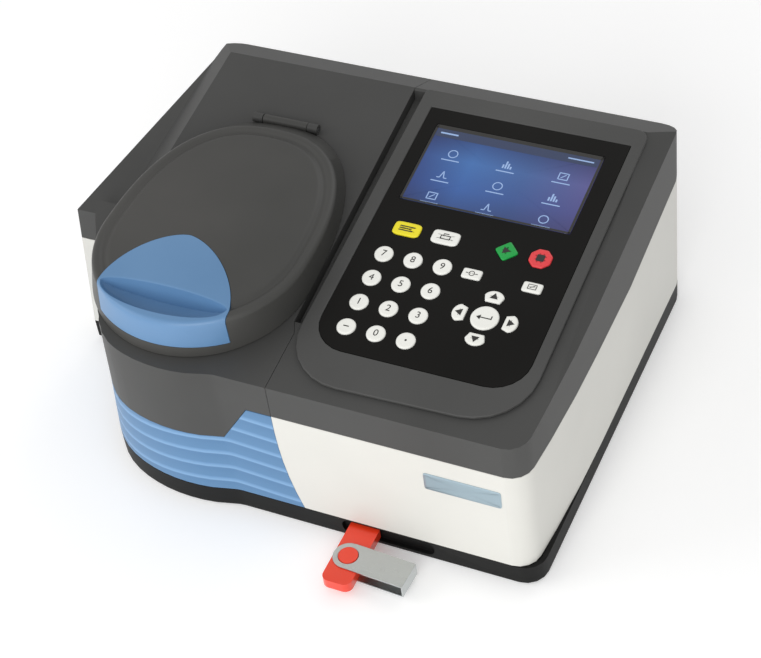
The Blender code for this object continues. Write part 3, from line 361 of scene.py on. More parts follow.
def lit_screen():
    """A lit liquid-crystal panel under hard-coated glass: blue, brighter inside, purple to one corner."""
    made, tree, shader = new_finish("lit_lcd_screen", "3A66B0", 0.14, Coat_Weight=0.6, Coat_Roughness=0.05)
    place = add_node(tree, "ShaderNodeUVMap", {"uv_map": "across"})
    parts = add_node(tree, "ShaderNodeSeparateXYZ", Vector=(place, "UV"))
    along_stops = [(0.0, "1D3B76"), (0.3, "32609C"), (0.62, "34548A"), (1.0, "4C4A80")]
    up_stops = [(0.0, "8A86A8"), (0.25, "C6CEE8"), (0.6, "FFFFFF"), (0.88, "6E7FA8"), (1.0, "3A4468")]
    along = add_node(tree, "ShaderNodeValToRGB", {"stops": along_stops}, Fac=(parts, "X"))
    up = add_node(tree, "ShaderNodeValToRGB", {"stops": up_stops}, Fac=(parts, "Y"))
    both = add_node(tree, "ShaderNodeMix", {"data_type": "RGBA", "blend_type": "MULTIPLY", "in_0": 0.75},
                    in_6=(along, "Color"), in_7=(up, "Color"))
    tree.links.new(both.outputs[2], shader.inputs["Base Color"])
    tree.links.new(both.outputs[2], shader.inputs["Emission Color"])
    shader.inputs["Emission Strength"].default_value = 0.3
    return made


def brushed(name, colour, roughness, across=(1.0, 60.0, 60.0)):
    """Rolled and brushed metal: scratches along one way, which vary the gloss and lift the surface slightly.

    They are under 0.1 mm wide on the real metal and drawn about 0.3 mm wide, so that they show.
    """
    made, tree, shader = new_finish(name, colour, roughness, 1.0)
    place = add_node(tree, "ShaderNodeTexCoord")
    turned = add_node(tree, "ShaderNodeMapping", {"Scale": across}, Vector=(place, "Object"))
    streaks = add_node(tree, "ShaderNodeTexNoise", {"Scale": 60.0, "Detail": 5.0}, Vector=(turned, "Vector"))
    gloss = add_node(tree, "ShaderNodeMapRange", {"To_Min": roughness - 0.1, "To_Max": roughness + 0.12},
                     Value=(streaks, "Fac"))
    tree.links.new(gloss.outputs["Result"], shader.inputs["Roughness"])
    bump = add_node(tree, "ShaderNodeBump", {"Strength": 0.3, "Distance": 0.03 * MM}, Height=(streaks, "Fac"))
    tree.links.new(bump.outputs["Normal"], shader.inputs["Normal"])
    return made


def solder_mask():
    """Glass-epoxy circuit board: green mask over copper tracks, which show as paler stepped lines."""
    made, tree, shader = new_finish("green_circuit_board", "0E4A26", 0.4)
    place = add_node(tree, "ShaderNodeTexCoord")
    tracks = add_node(tree, "ShaderNodeTexVoronoi",
                      {"distance": "MANHATTAN", "feature": "F1", "Scale": 260.0}, Vector=(place, "Object"))
    stops = [(0.0, "1C6B3A"), (0.42, "125230"), (0.5, "0C3F21")]
    colours = add_node(tree, "ShaderNodeValToRGB", {"stops": stops}, Fac=(tracks, "Distance"))
    tree.links.new(colours.outputs["Color"], shader.inputs["Base Color"])
    bump = add_node(tree, "ShaderNodeBump", {"Strength": 0.4, "Distance": 0.05 * MM},
                    Height=(tracks, "Distance"))
    tree.links.new(bump.outputs["Normal"], shader.inputs["Normal"])
    return made


# Matt ABS mouldings: the dark covers and lid reflect little, so their form shows in soft shades.
TOP_GREY = moulded("dark_grey_abs", "454544", 0.5, 0.8, 0.05, light="494948", dark="414140",
                   Specular_IOR_Level=0.3)
LID_GREY = moulded("lid_grey_abs", "454442", 0.46, 0.8, 0.04, light="4A4947", dark="40403E",
                   Specular_IOR_Level=0.35)
RING_GREY = moulded("bezel_grey_abs", "4A4A49", 0.5, 0.7, 0.04, light="4E4E4D", dark="464645",
                    Specular_IOR_Level=0.3)
# The white lower case is the same plastic with a warm tint.
WARM_WHITE = moulded("warm_white_abs", "D3D2CC", 0.45, 0.8, 0.04, light="D7D6D0", dark="CFCEC8")
# Glass-filled ABS, coarser and nearly black.
BASE_BLACK = moulded("black_glass_filled_abs", "090909", 0.55, 1.1, 0.08, light="0D0D0C", dark="060606",
                     Specular_IOR_Level=0.25)
# The blue pieces: a panel with bands of painted highlight, and a plain handle with a finer grain.
BLUE = highlight_banded_blue()
HANDLE_BLUE = moulded("handle_blue_abs", "6189B2", 0.4, 0.7, 0.03, light="668EB7", dark="5C84AD")
# Moulded rubber scatters nearly all light; printed polyester film and the screen under glass are smooth.
RUBBER = moulded("moulded_rubber", "1B1B1A", 0.85, 0.5, 0.1)
FILM = moulded("keypad_polyester_film", "11100D", 0.36, 0.35, 0.01, light="131210", dark="0E0D0B",
               Specular_IOR_Level=0.15)
SCREEN = lit_screen()
# Silicone rubber keys: soft gloss, strong even colour, and dry ink for their symbols.
KEY_WHITE = moulded("white_silicone_key", "F0F0EA", 0.45, 0.6, 0.02, light="F3F3EE", dark="EDEDE6")
KEY_YELLOW = moulded("yellow_silicone_key", "F0E020", 0.42, 0.6, 0.02, light="F3E42A", dark="ECDB18")
KEY_GREEN = moulded("green_silicone_key", "12A045", 0.42, 0.6, 0.02, light="17A84B", dark="0E973E")
KEY_RED = moulded("red_silicone_key", "E8454A", 0.42, 0.6, 0.02, light="EC4D52", dark="E23D42")
PRINT = moulded("screen_printed_ink", "2B2A28", 0.5, 0.4, 0.005)
# Bright shapes and the darker bar that the panel shows.
ICON = new_finish("lit_icon", "8FA9D2", 0.2, Emission_Strength=0.25)[0]
ICON.node_tree.nodes["Principled BSDF"].inputs["Emission Color"].default_value = linear("8FA9D2")
DARK_BAR = new_finish("dark_status_bar", "2C3A5C", 0.2, Coat_Weight=0.5)[0]
# The memory stick: glossy polycarbonate with a clear skin, in a sleeve of brushed stainless sheet.
STICK_RED = moulded("red_polycarbonate", "E8381A", 0.28, 0.9, 0.01, light="EC3F20", dark="E23216",
                    Coat_Weight=0.4)
CLIP_STEEL = brushed("brushed_stainless_sheet", "C4C8C8", 0.3)
# Metals inside and behind: plated shells, drawn pins, anodised castings, blackened motor cases.
PLATED = brushed("nickel_plated_shell", "B9BCBE", 0.26)
PIN_STEEL = brushed("drawn_steel_pin", "A8AAAC", 0.3)
ALUMINIUM = brushed("anodised_aluminium", "A9ACAE", 0.38, (60.0, 60.0, 1.0))
MOTOR = brushed("black_oxide_motor_case", "2C2D30", 0.45, (1.0, 1.0, 60.0))
BOARD = solder_mask()
# Clear quartz, and a printed aluminium plate with a satin face.
BULB = new_finish("quartz_bulb_glass", "EDF2F6", 0.05, Transmission_Weight=0.9, IOR=1.46)[0]
BADGE = brushed("printed_aluminium_badge", "A9BCC6", 0.4)

# ---------------------------------------------------------------- lid


def lid_edge(by, lean):
    """Middle x, half width, front and back reach of the lid's plan, moved in by a length and leaning."""
    left, back = LID_LEAN_LEFT * lean, LID_LEAN_BACK * lean
    return LID_X + left / 2, LID_HALF - by - left / 2, LID_FRONT - by, LID_BACK - by - back


def lid_outline(by, lean=1.0, steps=144):
    """The lid's egg, counterclockwise: half an ellipse in front, a superellipse of power 2.5 behind."""
    turn = np.arange(steps) * 2 * pi / steps
    c, s = np.cos(turn), np.sin(turn)
    grow = np.where(s > 0, 2 / 2.5, 1.0)
    x, half, front, back = lid_edge(by, lean)
    depth = np.where(s > 0, back, front)
    x = x + half * np.sign(c) * np.abs(c) ** grow
    return np.stack([x, LID_Y + depth * np.sign(s) * np.abs(s) ** grow], -1)


def lid_front(x, by, lean):
    """y of the lid's front edge at an x, on the same half ellipse as its outline."""
    middle_x, half, front, _ = lid_edge(by, lean)
    return LID_Y - front * np.sqrt(np.clip(1 - ((x - middle_x) / half) ** 2, 0, 1))


def lid_height(x, y):
    """A plane that rises to the back, crowned by a paraboloid over the middle."""
    across = (x - LID_X) / LID_HALF
    along = (y - LID_Y) / np.where(y > LID_Y, LID_BACK, LID_FRONT)
    crown = LID_CROWN * (1 - np.minimum(across**2 + along**2, 1))
    return LID_TOP + LID_RISE * (y - LID_Y + LID_FRONT) + crown


def rim_drop(share):
    """How far a round edge lies under its top at a share of its radius from outside: a quarter circle."""
    return LID_RIM * (1 - np.sqrt(np.clip(1 - (1 - np.clip(share, 0, 1)) ** 2, 0, 1)))


def lid_surface():
    """Rings from the outer lower edge up the leaning wall, round the rim and in to the crown.

    The rim is a quarter circle; inside it a valley, a squared cosine across 7 mm, sets the rim off.
    """
    rings = []
    foot = ((0.0, 1.0), (0.06, 2.4))  # lean and height over the deck
    for lean, gap in foot:
        line = lid_outline(0.0, lean)
        rings.append(np.column_stack([line, deck_height(line[:, 1]) + gap]))
    for turn in np.linspace(0, pi / 2, 9):
        by = LID_RIM * (1 - cos(turn))
        line = lid_outline(by)
        rings.append(np.column_stack([line, lid_height(line[:, 0], line[:, 1]) - rim_drop(by / LID_RIM)]))
    for share in np.linspace(0, 1, 40)[1:]:
        by = LID_RIM + 60.0 * share**1.3
        line = lid_outline(by)
        from_valley = abs(by - LID_RIM - 4.5) / 3.5
        valley = LID_VALLEY * cos(min(from_valley, 1.0) * pi / 2) ** 2
        rings.append(np.column_stack([line, lid_height(line[:, 0], line[:, 1]) - valley]))
    return np.stack(rings)


def handle_outline(by):
    """The handle's plan: a lobe, |x|^1.6 + |y|^1.6 = 1, sheared to the left, on straight sides."""
    turn = np.linspace(0, pi, 61)
    grow = 2 / 1.6
    c, s = np.cos(turn), np.clip(np.sin(turn), 0, 1)
    side = HANDLE_HALF + by
    y = (HANDLE_TIP - HANDLE_WAIST + by) * s**grow
    x = LID_X + side * np.sign(c) * np.abs(c) ** grow - HANDLE_SHEAR * y
    front = LID_Y - LID_FRONT - 8
    foot = [(LID_X - side, front), (LID_X + side, front)]
    return np.concatenate([np.stack([x, HANDLE_WAIST + y], -1), foot])


def tool(outline, low, high):
    """An upright prism that a Boolean cuts with or keeps."""
    rings = np.stack([np.column_stack([outline, np.full(len(outline), z)]) for z in (low, high)])
    points, faces = closed_loft(rings)
    return piece("tool", points, faces, TOP_GREY, None)


def walled(outer, centre, wall):
    """A closed shell: rings from an outer edge to a middle, under them the same rings moved in and down.

    The first ring stays at its height, which makes the lid's flat lower edge, and the second drops less.
    """
    inner = outer.copy()
    spread = inner[:, :, :2] - centre
    reach = np.linalg.norm(spread, axis=2, keepdims=True)
    inner[:, :, :2] = centre + spread * np.clip(1 - wall / np.maximum(reach, 1e-6), 0.05, 1)
    drop = np.full(len(inner), wall)
    drop[:2] = 0.0, wall - 1.0
    inner[:, :, 2] -= drop[:, None]
    return closed_loft(np.concatenate([inner[::-1], outer]))


def make_lid():
    """The lid's shell with the handle's place cut out of it, and the barrel that turns on the pin."""
    points, faces = walled(lid_surface(), np.array((LID_X, LID_Y + 20)), LID_WALL)
    lid = piece("lid_skin", points, faces, LID_GREY, "lid")
    boolean(lid, "DIFFERENCE", tool(handle_outline(HANDLE_GAP), HANDLE_FOOT - 0.3, 200))
    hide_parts("lid_shell")
    barrel_round("lid_hinge_barrel", "lid_hinge_pin", 3.2, 16.0)


def barrel_round(name, node, radius, half):
    """A barrel round a pin's middle: circles along x, the end ones smaller by the chamfer."""
    x, y, z = middle(node)
    turn = np.arange(32) * 2 * pi / 32
    rings = []
    for along, share in ((-half, 0.85), (-half + 0.4, 1.0), (half - 0.4, 1.0), (half, 0.85)):
        rings.append(np.column_stack([np.full(32, x + along), y + share * radius * np.cos(turn),
                                      z + share * radius * np.sin(turn)]))
    points, faces = closed_loft(np.stack(rings))
    piece(name, points, faces, LID_GREY, "lid")


def slab(outer, inner):
    """Points and faces of a closed solid between two grids of one size, the first seen from outside."""
    rows, columns, _ = outer.shape
    index = np.arange(rows * columns).reshape(rows, columns)
    cells = np.stack([index[:-1, :-1], index[:-1, 1:], index[1:, 1:], index[1:, :-1]], -1).reshape(-1, 4)
    under = index.size
    edge = np.concatenate([index[0, :-1], index[:-1, -1], index[-1, :0:-1], index[:0:-1, 0]])
    ahead = np.roll(edge, -1)
    sides = np.stack([ahead, edge, edge + under, ahead + under], -1)
    points = np.concatenate([outer.reshape(-1, 3), inner.reshape(-1, 3)])
    return points, np.concatenate([cells, cells[:, ::-1] + under, sides]).tolist()


EDGE_DROP, EDGE_REACH = 0.45, 1.1  # the round edge along the pocket's back
CREASE_GAP = 0.01  # keeps the rows of the pocket's back wall and of the crown apart where both meet


def handle_rows(x):
    """The handle's outside and inside as rows of points over columns x: up the lid's wall, over the lip,
    down through the finger pocket, up its steep back and on over the lid's crown.

    The pocket's plan is two half ellipses of one width. Its depth grows from nothing at the lip as a quarter
    sine over half of the way back, and its back wall takes the last tenth.
    """
    across = np.sqrt(np.clip(1 - ((x - LID_X) / POCKET_HALF) ** 2, 0, 1))
    pocket_front, pocket_back = POCKET_Y - POCKET_FRONT * across, POCKET_Y + POCKET_BACK * across
    crease = lid_front(x, 0.0, 1.0)
    top = lid_height(x, crease) - LID_RIM
    foot = deck_height(crease) + 1.0
    outer, inner = [], []
    for share in np.linspace(0, 1, 6):
        y = lid_front(x, 0.0, share)
        outer.append(np.stack([x, y, foot + (top - foot) * share], -1))
        inner.append(np.stack([x, y + HANDLE_WALL, foot + (top - HANDLE_WALL - foot) * share], -1))
    lip = pocket_front - crease
    for share in np.linspace(0, 1, 13)[1:]:
        y = crease + lip * share
        z = lid_height(x, y) + HANDLE_PROUD - rim_drop(share * lip / np.minimum(LID_RIM, 0.7 * lip))
        outer.append(np.stack([x, y, z], -1))
        inner.append(np.stack([x, y + HANDLE_WALL * (1 - share), z - HANDLE_WALL], -1))
    for share in np.linspace(0, 1, 41)[1:]:
        y = pocket_front + (pocket_back - pocket_front) * share + CREASE_GAP * share
        depth = POCKET_DEPTH * across * min(sin(pi / 2 * min(share / 0.5, 1.0)), (1 - share) / 0.1)
        z = lid_height(x, y) + HANDLE_PROUD - depth - EDGE_DROP * across * share
        outer.append(np.stack([x, y, z], -1))
        inner.append(np.stack([x, y, z - HANDLE_WALL], -1))
    for share in np.linspace(0, 1, 36)[1:]:
        y = pocket_back + CREASE_GAP + (HANDLE_TIP + 10 - pocket_back) * share**1.6
        rounding = EDGE_DROP * across * np.clip(1 - (y - pocket_back) / EDGE_REACH, 0, 1) ** 2
        z = lid_height(x, y) + HANDLE_PROUD - rounding
        outer.append(np.stack([x, y, z], -1))
        inner.append(np.stack([x, y, z - HANDLE_WALL], -1))
    return np.stack(outer), np.stack(inner)


def make_handle():
    """The handle's rows, 2 mm wider than its plan on each side, kept inside that plan."""
    x = np.linspace(LID_X - HANDLE_HALF - 2, LID_X + HANDLE_HALF + 2, 131)
    points, faces = slab(*handle_rows(x))
    handle = piece("lid_handle_shell", points, faces, HANDLE_BLUE, "lid")
    boolean(handle, "INTERSECT", tool(handle_outline(0.0), HANDLE_FOOT, 200))
    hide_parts("lid_handle")


# ---------------------------------------------------------------- console


def label(name, solids, finish, body):
    """Several thin solids as one piece."""
    points, faces = joined(solids)
    return piece(name, points, faces, finish, body)


def ink(outline, place, height, thick=0.07):
    """A flat shape as thick as a printed layer, standing on a height above the deck."""
    line = outline + np.array(place)
    rings = np.stack([deck_place(line[:, 0], line[:, 1], n) for n in (height - 0.02, height + thick)])
    return closed_loft(rings)


def bar(x0, y0, x1, y1, wide):
    """A straight stroke between two points as a rectangle of one width, counterclockwise."""
    start, end = np.array((x0, y0), float), np.array((x1, y1), float)
    along = (end - start) / np.linalg.norm(end - start)
    side = np.array((-along[1], along[0])) * wide / 2
    return np.stack([start - side, end - side, end + side, start + side])


def ring_shape(radius, wide, steps=24):
    """A drawn circle as short strokes end to end."""
    turn = np.arange(steps + 1) * 2 * pi / steps
    points = radius * np.stack([np.cos(turn), np.sin(turn)], -1)
    return [bar(*points[i], *points[i + 1], wide) for i in range(steps)]


def digit(name, text, place, height, size, body):
    """A printed character in the built-in typeface, 0.07 mm thick, laid on the deck's slope."""
    curve = bpy.data.curves.new(name, "FONT")
    curve.body, curve.size, curve.extrude = text, size * MM, 0.035 * MM
    curve.align_x, curve.align_y = "CENTER", "CENTER"
    holder = bpy.data.objects.new(name, curve)
    bpy.context.scene.collection.objects.link(holder)
    mesh = bpy.data.meshes.new_from_object(holder.evaluated_get(bpy.context.evaluated_depsgraph_get()))
    bpy.data.objects.remove(holder, do_unlink=True)
    flat = np.empty(len(mesh.vertices) * 3)
    mesh.vertices.foreach_get("co", flat)
    flat = flat.reshape(-1, 3) / MM
    points = deck_place(flat[:, 0] + place[0], flat[:, 1] + place[1], flat[:, 2] + height + 0.03)
    mesh.vertices.foreach_set("co", ((points + SHIFT) * MM).ravel())
    mesh.materials.clear()
    mesh.materials.append(PRINT)
    mesh.name = name
    made = bpy.data.objects.new(name, mesh)
    bpy.context.scene.collection.objects.link(made)
    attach(made, body)
    return made


KEY_TOP = 3.1  # a key's face above the deck
PRINT_SEAT = KEY_TOP - 0.06  # where its ink starts, inside the slightly hollow face
CIRCLE = rounded(6.0, 6.0, 2.0)
CAP_PROFILE = ((-1.0, -2.0), (-1.0, -0.52), (0.0, -0.5), (0.0, 1.9), (0.06, 2.45), (0.3, 2.85), (0.75, 3.05),
               (1.3, KEY_TOP), (2.4, KEY_TOP - 0.05), (3.4, KEY_TOP - 0.08))


def arrow_key(turn):
    """A D-shaped key about its box's middle: flat towards the enter key, an arc on its other side."""
    angle = np.radians(np.linspace(-75, 75, 25))
    shape = np.concatenate([np.stack([-1.0 + 5.59 * np.cos(angle), 6.5 * np.sin(angle)], -1),
                            [(-4.0, 4.68), (-4.0, -4.68)]])
    c, s = round(cos(radians(turn))), round(sin(radians(turn)))
    turned = np.stack([shape[:, 0] * c - shape[:, 1] * s, shape[:, 0] * s + shape[:, 1] * c], -1)
    return turned - (turned.max(axis=0) + turned.min(axis=0)) / 2


def key_shapes():
    """Every key's outline, finish and record slot by its node's name."""
    shapes = {f"key_{name}": (CIRCLE, KEY_WHITE, "white_key") for name in [*"0123456789", "minus", "point"]}
    shapes["key_yellow"] = (rounded(9.0, 5.25, 5.0), KEY_YELLOW, "yellow_key")
    shapes["key_white"] = (rounded(9.0, 5.25, 5.0), KEY_WHITE, "white_key")
    for side in ("left", "right"):
        shapes[f"key_{side}_soft"] = (rounded(6.25, 3.75, 7.0), KEY_WHITE, "white_key")
    shapes["key_start"] = (polygon([(7.8, 0), (0, 7.8), (-7.8, 0), (0, -7.8)], 1.6), KEY_GREEN, "green_key")
    corner = np.radians(22.5 + 45 * np.arange(8))
    octagon = 7.6 * np.stack([np.cos(corner), np.sin(corner)], -1)
    shapes["key_stop"] = (polygon(octagon, 0.8), KEY_RED, "red_key")
    shapes["key_enter"] = (rounded(8.75, 8.75, 2.0), KEY_WHITE, "white_key")
    for name, turn in (("up", 90), ("left", 180), ("down", 270), ("right", 0)):
        shapes[f"key_{name}"] = (arrow_key(turn), KEY_WHITE, "white_key")
    return shapes


def symbol(name):
    """What is printed on a key, as flat strokes and shapes about the key's middle."""
    if name == "minus":
        return [bar(-1.8, 0, 1.8, 0, 0.7)]
    if name == "point":
        return [rounded(0.7, 0.7, 2.0, 16)]
    if name == "start":
        return [polygon([(-2.2, -2.6), (2.8, 0), (-2.2, 2.6)])]
    if name == "stop":
        return [rounded(2.6, 2.6, 8.0, 24)]
    if name == "enter":
        return [bar(-3.6, -0.4, 4.2, -0.4, 0.7), bar(4.2, -0.75, 4.2, 1.9, 0.7),
                polygon([(-5.2, -0.4), (-2.6, -2.2), (-2.6, 1.4)])]
    if name in ("up", "left", "down", "right"):
        turn = radians({"right": 0, "up": 90, "left": 180, "down": 270}[name])
        shape = np.array([(-1.9, -2.6), (2.5, 0.0), (-1.9, 2.6)])
        c, s = cos(turn), sin(turn)
        return [np.stack([shape[:, 0] * c - shape[:, 1] * s, shape[:, 0] * s + shape[:, 1] * c], -1)]
    if name == "yellow":
        return [bar(-5.0, 1.6, 5.0, 1.6, 0.8), bar(-5.0, 0, 3.0, 0, 0.8), bar(-5.0, -1.6, 4.2, -1.6, 0.8)]
    if name == "white":
        return [bar(-3, -1.6, 3, -1.6, 0.6), bar(-3, 1.0, 3, 1.0, 0.6), bar(-3, -1.9, -3, 1.3, 0.6),
                bar(3, -1.9, 3, 1.3, 0.6), bar(-1.6, 2.4, 1.6, 2.4, 0.6), bar(-1.6, 1.3, -1.6, 2.7, 0.5)]
    if name == "left_soft":
        return ring_shape(1.7, 0.45, 16) + [bar(-3.9, 0, -2.4, 0, 0.45), bar(2.4, 0, 3.9, 0, 0.45)]
    return [bar(-2.6, -1.7, 2.6, -1.7, 0.45), bar(-2.6, 1.7, 2.6, 1.7, 0.45),
            bar(-2.6, -1.9, -2.6, 1.9, 0.45), bar(2.6, -1.9, 2.6, 1.9, 0.45), bar(-1.4, -0.8, 1.6, 1.0, 0.45)]


def make_keys():
    """A cap for every key, with a digit or a symbol printed on it."""
    for node, (outline, finish, slot) in key_shapes().items():
        centre = on_deck(middle(node))
        points, faces = closed_loft(deck_rings(outline, CAP_PROFILE, centre))
        body = body_with(node)
        cap = piece(f"{node}_cap", points, faces, finish, body, 50)
        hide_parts(node)
        name = node[4:]
        if name.isdigit():
            digit(f"{node}_digit", name, centre, PRINT_SEAT, 6.6, body)
        else:
            solids = [ink(shape, centre, PRINT_SEAT) for shape in symbol(name)]
            label(f"{node}_symbol", solids, PRINT, body)


PANE_TOP = 2.2  # the glass above the deck
BAR_FROM_TOP, BAR_HALF = 6.4, 3.4  # the status bar's middle below the glass's upper edge, and its half height
ICON_PITCH = (37.0, 18.0)
ICON_FIRST = 10.5  # the first row above the screen's middle
PICTOGRAMS = (
    ring_shape(3.0, 0.7, 20),
    [bar(-2.6, -3, -2.6, 0, 1.1), bar(-0.9, -3, -0.9, 3, 1.1), bar(0.8, -3, 0.8, 1.4, 1.1),
     bar(2.5, -3, 2.5, -0.8, 1.1)],
    [bar(-3, -2.6, 3, -2.6, 0.7), bar(-3, 2.6, 3, 2.6, 0.7), bar(-3, -2.9, -3, 2.9, 0.7),
     bar(3, -2.9, 3, 2.9, 0.7), bar(-1.5, -1.5, 1.5, 1.5, 0.6)],
    [bar(-3.4, -2.4, -1.4, -2.4, 0.7), bar(-1.4, -2.4, 0, 3, 0.7), bar(0, 3, 1.4, -2.4, 0.7),
     bar(1.4, -2.4, 3.4, -2.4, 0.7)],
)  # a ring, a bar chart, a chart in a frame, a peak


def make_screen():
    """The glass over the display's box, and what the panel shows."""
    low, high = (np.array(corner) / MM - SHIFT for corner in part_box("display_window"))
    wide = (high[0] - low[0]) / 2
    tall = (high[1] - low[1]) / 2 / cos(DECK_SLOPE) - 0.15
    centre = np.array(((low[0] + high[0]) / 2, on_deck((low + high) / 2)[1]))
    make_pane(centre, wide, tall)
    make_border(centre, wide, tall)
    make_icons(centre, wide, tall)


def make_pane(centre, wide, tall):
    """The pane, with a UV map of its own that runs from 0 to 1 across it and up the slope."""
    profile = ((0, 0.5), (0, 2.0), (0.2, PANE_TOP), (2.0, PANE_TOP))
    points, faces = closed_loft(deck_rings(rounded(wide, tall, 40.0, 96), profile, centre))
    pane = piece("screen_pane", points, faces, SCREEN, "case")
    place = np.empty(len(pane.data.vertices) * 3)
    pane.data.vertices.foreach_get("co", place)
    place = place.reshape(-1, 3) / MM - SHIFT - np.array((0, 0, DECK_FRONT))
    across = (place[:, 0] - centre[0] + wide) / (2 * wide)
    up = (place @ UP_SLOPE - centre[1] + tall) / (2 * tall)
    corners = np.empty(len(pane.data.loops), dtype=np.int32)
    pane.data.loops.foreach_get("vertex_index", corners)
    layer = pane.data.uv_layers.new(name="across")
    layer.data.foreach_set("uv", np.stack([across[corners], up[corners]], -1).ravel())
    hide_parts("display_window")


def make_border(centre, wide, tall):
    """The glass's printed black edge, as four strips, and the darker bar along its top."""
    strips = ((0, tall - 1.6, wide - 0.2, 1.5), (0, -tall + 0.8, wide - 0.2, 0.7),
              (-wide + 0.9, 0, 0.8, tall - 0.3), (wide - 0.9, 0, 0.8, tall - 0.3))
    edge = [ink(rounded(half_x, half_y, 30.0, 40), centre + (x, y), PANE_TOP, 0.04)
            for x, y, half_x, half_y in strips]
    label("screen_border", edge, PRINT, "case")
    status = rounded(wide - 2.2, BAR_HALF, 30.0, 40)
    label("screen_status_bar", [ink(status, centre + (0, tall - BAR_FROM_TOP), PANE_TOP, 0.03)], DARK_BAR,
          "case")


def make_icons(centre, wide, tall):
    """Two strokes in the status bar, and three rows of three pictograms with a stroke under each."""
    line = tall - BAR_FROM_TOP
    icons = [ink(bar(-wide + 5, line, -wide + 17, line, 1.2), centre, PANE_TOP + 0.04, 0.03),
             ink(bar(wide - 22, line, wide - 5, line, 1.0), centre, PANE_TOP + 0.04, 0.03)]
    for place in range(9):
        row, column = divmod(place, 3)
        spot = centre + ((column - 1) * ICON_PITCH[0], ICON_FIRST - row * ICON_PITCH[1])
        strokes = [*PICTOGRAMS[place % 4], bar(-6.0, -5.6, 6.0, -5.6, 0.8)]
        icons += [ink(stroke, spot, PANE_TOP, 0.04) for stroke in strokes]
    label("screen_icons", icons, ICON, "case")


# ---------------------------------------------------------------- case


def make_case():
    """Edge-rounded copies of the case's mouldings and of the stick, each with its edge radius in mm."""
    softened("left_top_cover", "left_cover_shell", TOP_GREY, 1.6)
    softened("right_top_cover", "right_cover_shell", TOP_GREY, 1.6)
    softened("console_bezel", "console_ring", RING_GREY, 1.1)
    softened("keypad_overlay", "keypad_sheet", FILM, 0.3)
    softened("lower_case", "lower_case_shell", WARM_WHITE, 0.8)
    softened("accent_panel", "accent_shell", BLUE, 0.7)
    softened("base_pan", "base_tray", BASE_BLACK, 0.9)
    softened("stick_body", "stick_shell", STICK_RED, 0.9)
    softened("stick_clip", "stick_sleeve", CLIP_STEEL, 0.22)
    softened("power_entry", "power_entry_moulding", BASE_BLACK, 0.5)
    softened("power_rocker", "rocker_cap", BASE_BLACK, 0.5)


BADGE_HALF = (24.5, 7.0)
BADGE_X, BADGE_Z = -45.0, 74.6
BADGE_OUT = 0.5


def make_badge():
    """A blank rating plate on the front: a thin rounded rectangle off the wall, its edge chamfered."""
    x, z = BADGE_HALF
    outline = polygon([(x, -z), (x, z), (-x, z), (-x, -z)], 2.0)
    rings = []
    for by, out in ((0.0, 0.02), (0.0, BADGE_OUT - 0.15), (0.25, BADGE_OUT), (2.0, BADGE_OUT)):
        line = inset(outline, by) if by else outline
        rings.append(np.column_stack([BADGE_X + line[:, 0], np.full(len(line), -out), BADGE_Z + line[:, 1]]))
    points, faces = closed_loft(np.stack(rings))
    piece("blank_badge", points, faces, BADGE, "case")


# ---------------------------------------------------------------- pieces that stay as the frame has them

CARRIED = {
    RUBBER: ("foot_front_left", "foot_front_right", "foot_rear_left", "foot_rear_right"),
    BASE_BLACK: ("lid_liner", "sample_well", "detector_module", "filter_wheel", "display_module"),
    ALUMINIUM: ("cuvette_holder", "optical_bench", "lamp_housing", "collimating_mirror", "grating_table"),
    MOTOR: ("filter_motor", "grating_motor", "power_supply"),
    BOARD: ("main_board", "keypad_board"),
    PLATED: ("usb_port", "stick_plug"),
    PIN_STEEL: ("lid_hinge_pin",),
    BULB: ("lamp_bulb",),
}


def dress_frame():
    """Gives the nodes that no new piece replaces their finish."""
    for finish, names in CARRIED.items():
        for name in names:
            nodes[name].data.materials.clear()
            nodes[name].data.materials.append(finish)


# ---------------------------------------------------------------- stage


CAMERA_PLACE = (312.1, -687.0, 979.1)  # working frame
CAMERA_AHEAD = (-0.355, 0.6167, -0.7026)
CAMERA_RIGHT = (0.9089, 0.4035, -0.1051)


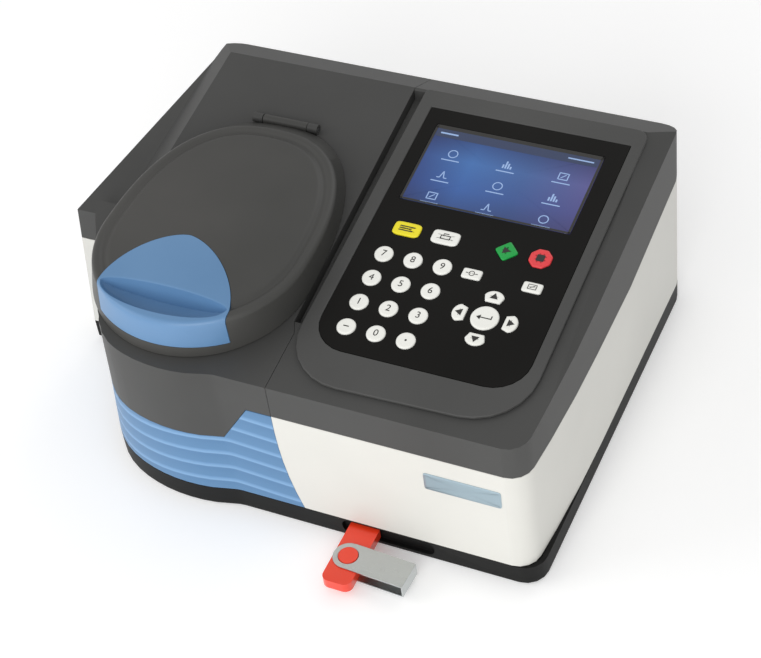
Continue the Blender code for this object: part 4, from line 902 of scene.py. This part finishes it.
def make_camera():
    """The camera, up in front and to the right, turned by its own right, up and backward directions."""
    place = Vector((np.array(CAMERA_PLACE) + SHIFT) * MM)
    ahead = Vector(CAMERA_AHEAD).normalized()
    right = Vector(CAMERA_RIGHT).normalized()
    up = right.cross(ahead).normalized()
    data = bpy.data.cameras.new("camera")
    data.sensor_width = 36.0
    data.lens = 96.3
    camera = bpy.data.objects.new("camera", data)
    bpy.context.scene.collection.objects.link(camera)
    camera.matrix_world = Matrix.LocRotScale(place, Matrix((right, up, -ahead)).transposed(), None)
    bpy.context.scene.camera = camera


def area_light(name, place, aim_height, size, power):
    """A square soft box at a place in metres, turned to a height over the origin."""
    data = bpy.data.lights.new(name, "AREA")
    data.energy, data.size = power, size
    lamp = bpy.data.objects.new(name, data)
    bpy.context.scene.collection.objects.link(lamp)
    lamp.location = place
    lamp.rotation_euler = (Vector((0, 0, aim_height)) - lamp.location).to_track_quat("-Z", "Y").to_euler()


FLOOR_REACH = 6.0  # metres, far outside the view


def make_stage():
    """A pale floor that glows a little, a white surround and three soft boxes."""
    mesh = bpy.data.meshes.new("floor")
    corners = [(-1, -1), (1, -1), (1, 1), (-1, 1)]
    mesh.from_pydata([(x * FLOOR_REACH, y * FLOOR_REACH, 0) for x, y in corners], [], [(0, 1, 2, 3)])
    floor = bpy.data.objects.new("floor", mesh)
    bpy.context.scene.collection.objects.link(floor)
    pale, _, shader = new_finish("pale_floor", "F4F4F4", 0.9, Emission_Strength=0.2)
    shader.inputs["Emission Color"].default_value = linear("FFFFFF")
    mesh.materials.append(pale)
    world = bpy.data.worlds.new("surround")
    world.use_nodes = True
    world.node_tree.nodes["Background"].inputs["Strength"].default_value = 0.6
    world.node_tree.nodes["Background"].inputs["Color"].default_value = (1, 1, 1, 1)
    bpy.context.scene.world = world
    area_light("key", (0.3, -1.7, 0.9), 0.08, 1.2, 17.5)
    area_light("fill", (-1.3, -0.7, 0.9), 0.08, 1.0, 6.0)
    area_light("back", (0.2, 1.5, 1.2), 0.1, 1.0, 4.0)
    bpy.context.scene.view_settings.view_transform = "Standard"


make_camera()
make_stage()
dress_frame()
make_case()
make_lid()
make_handle()
make_keys()
make_screen()
make_badge()
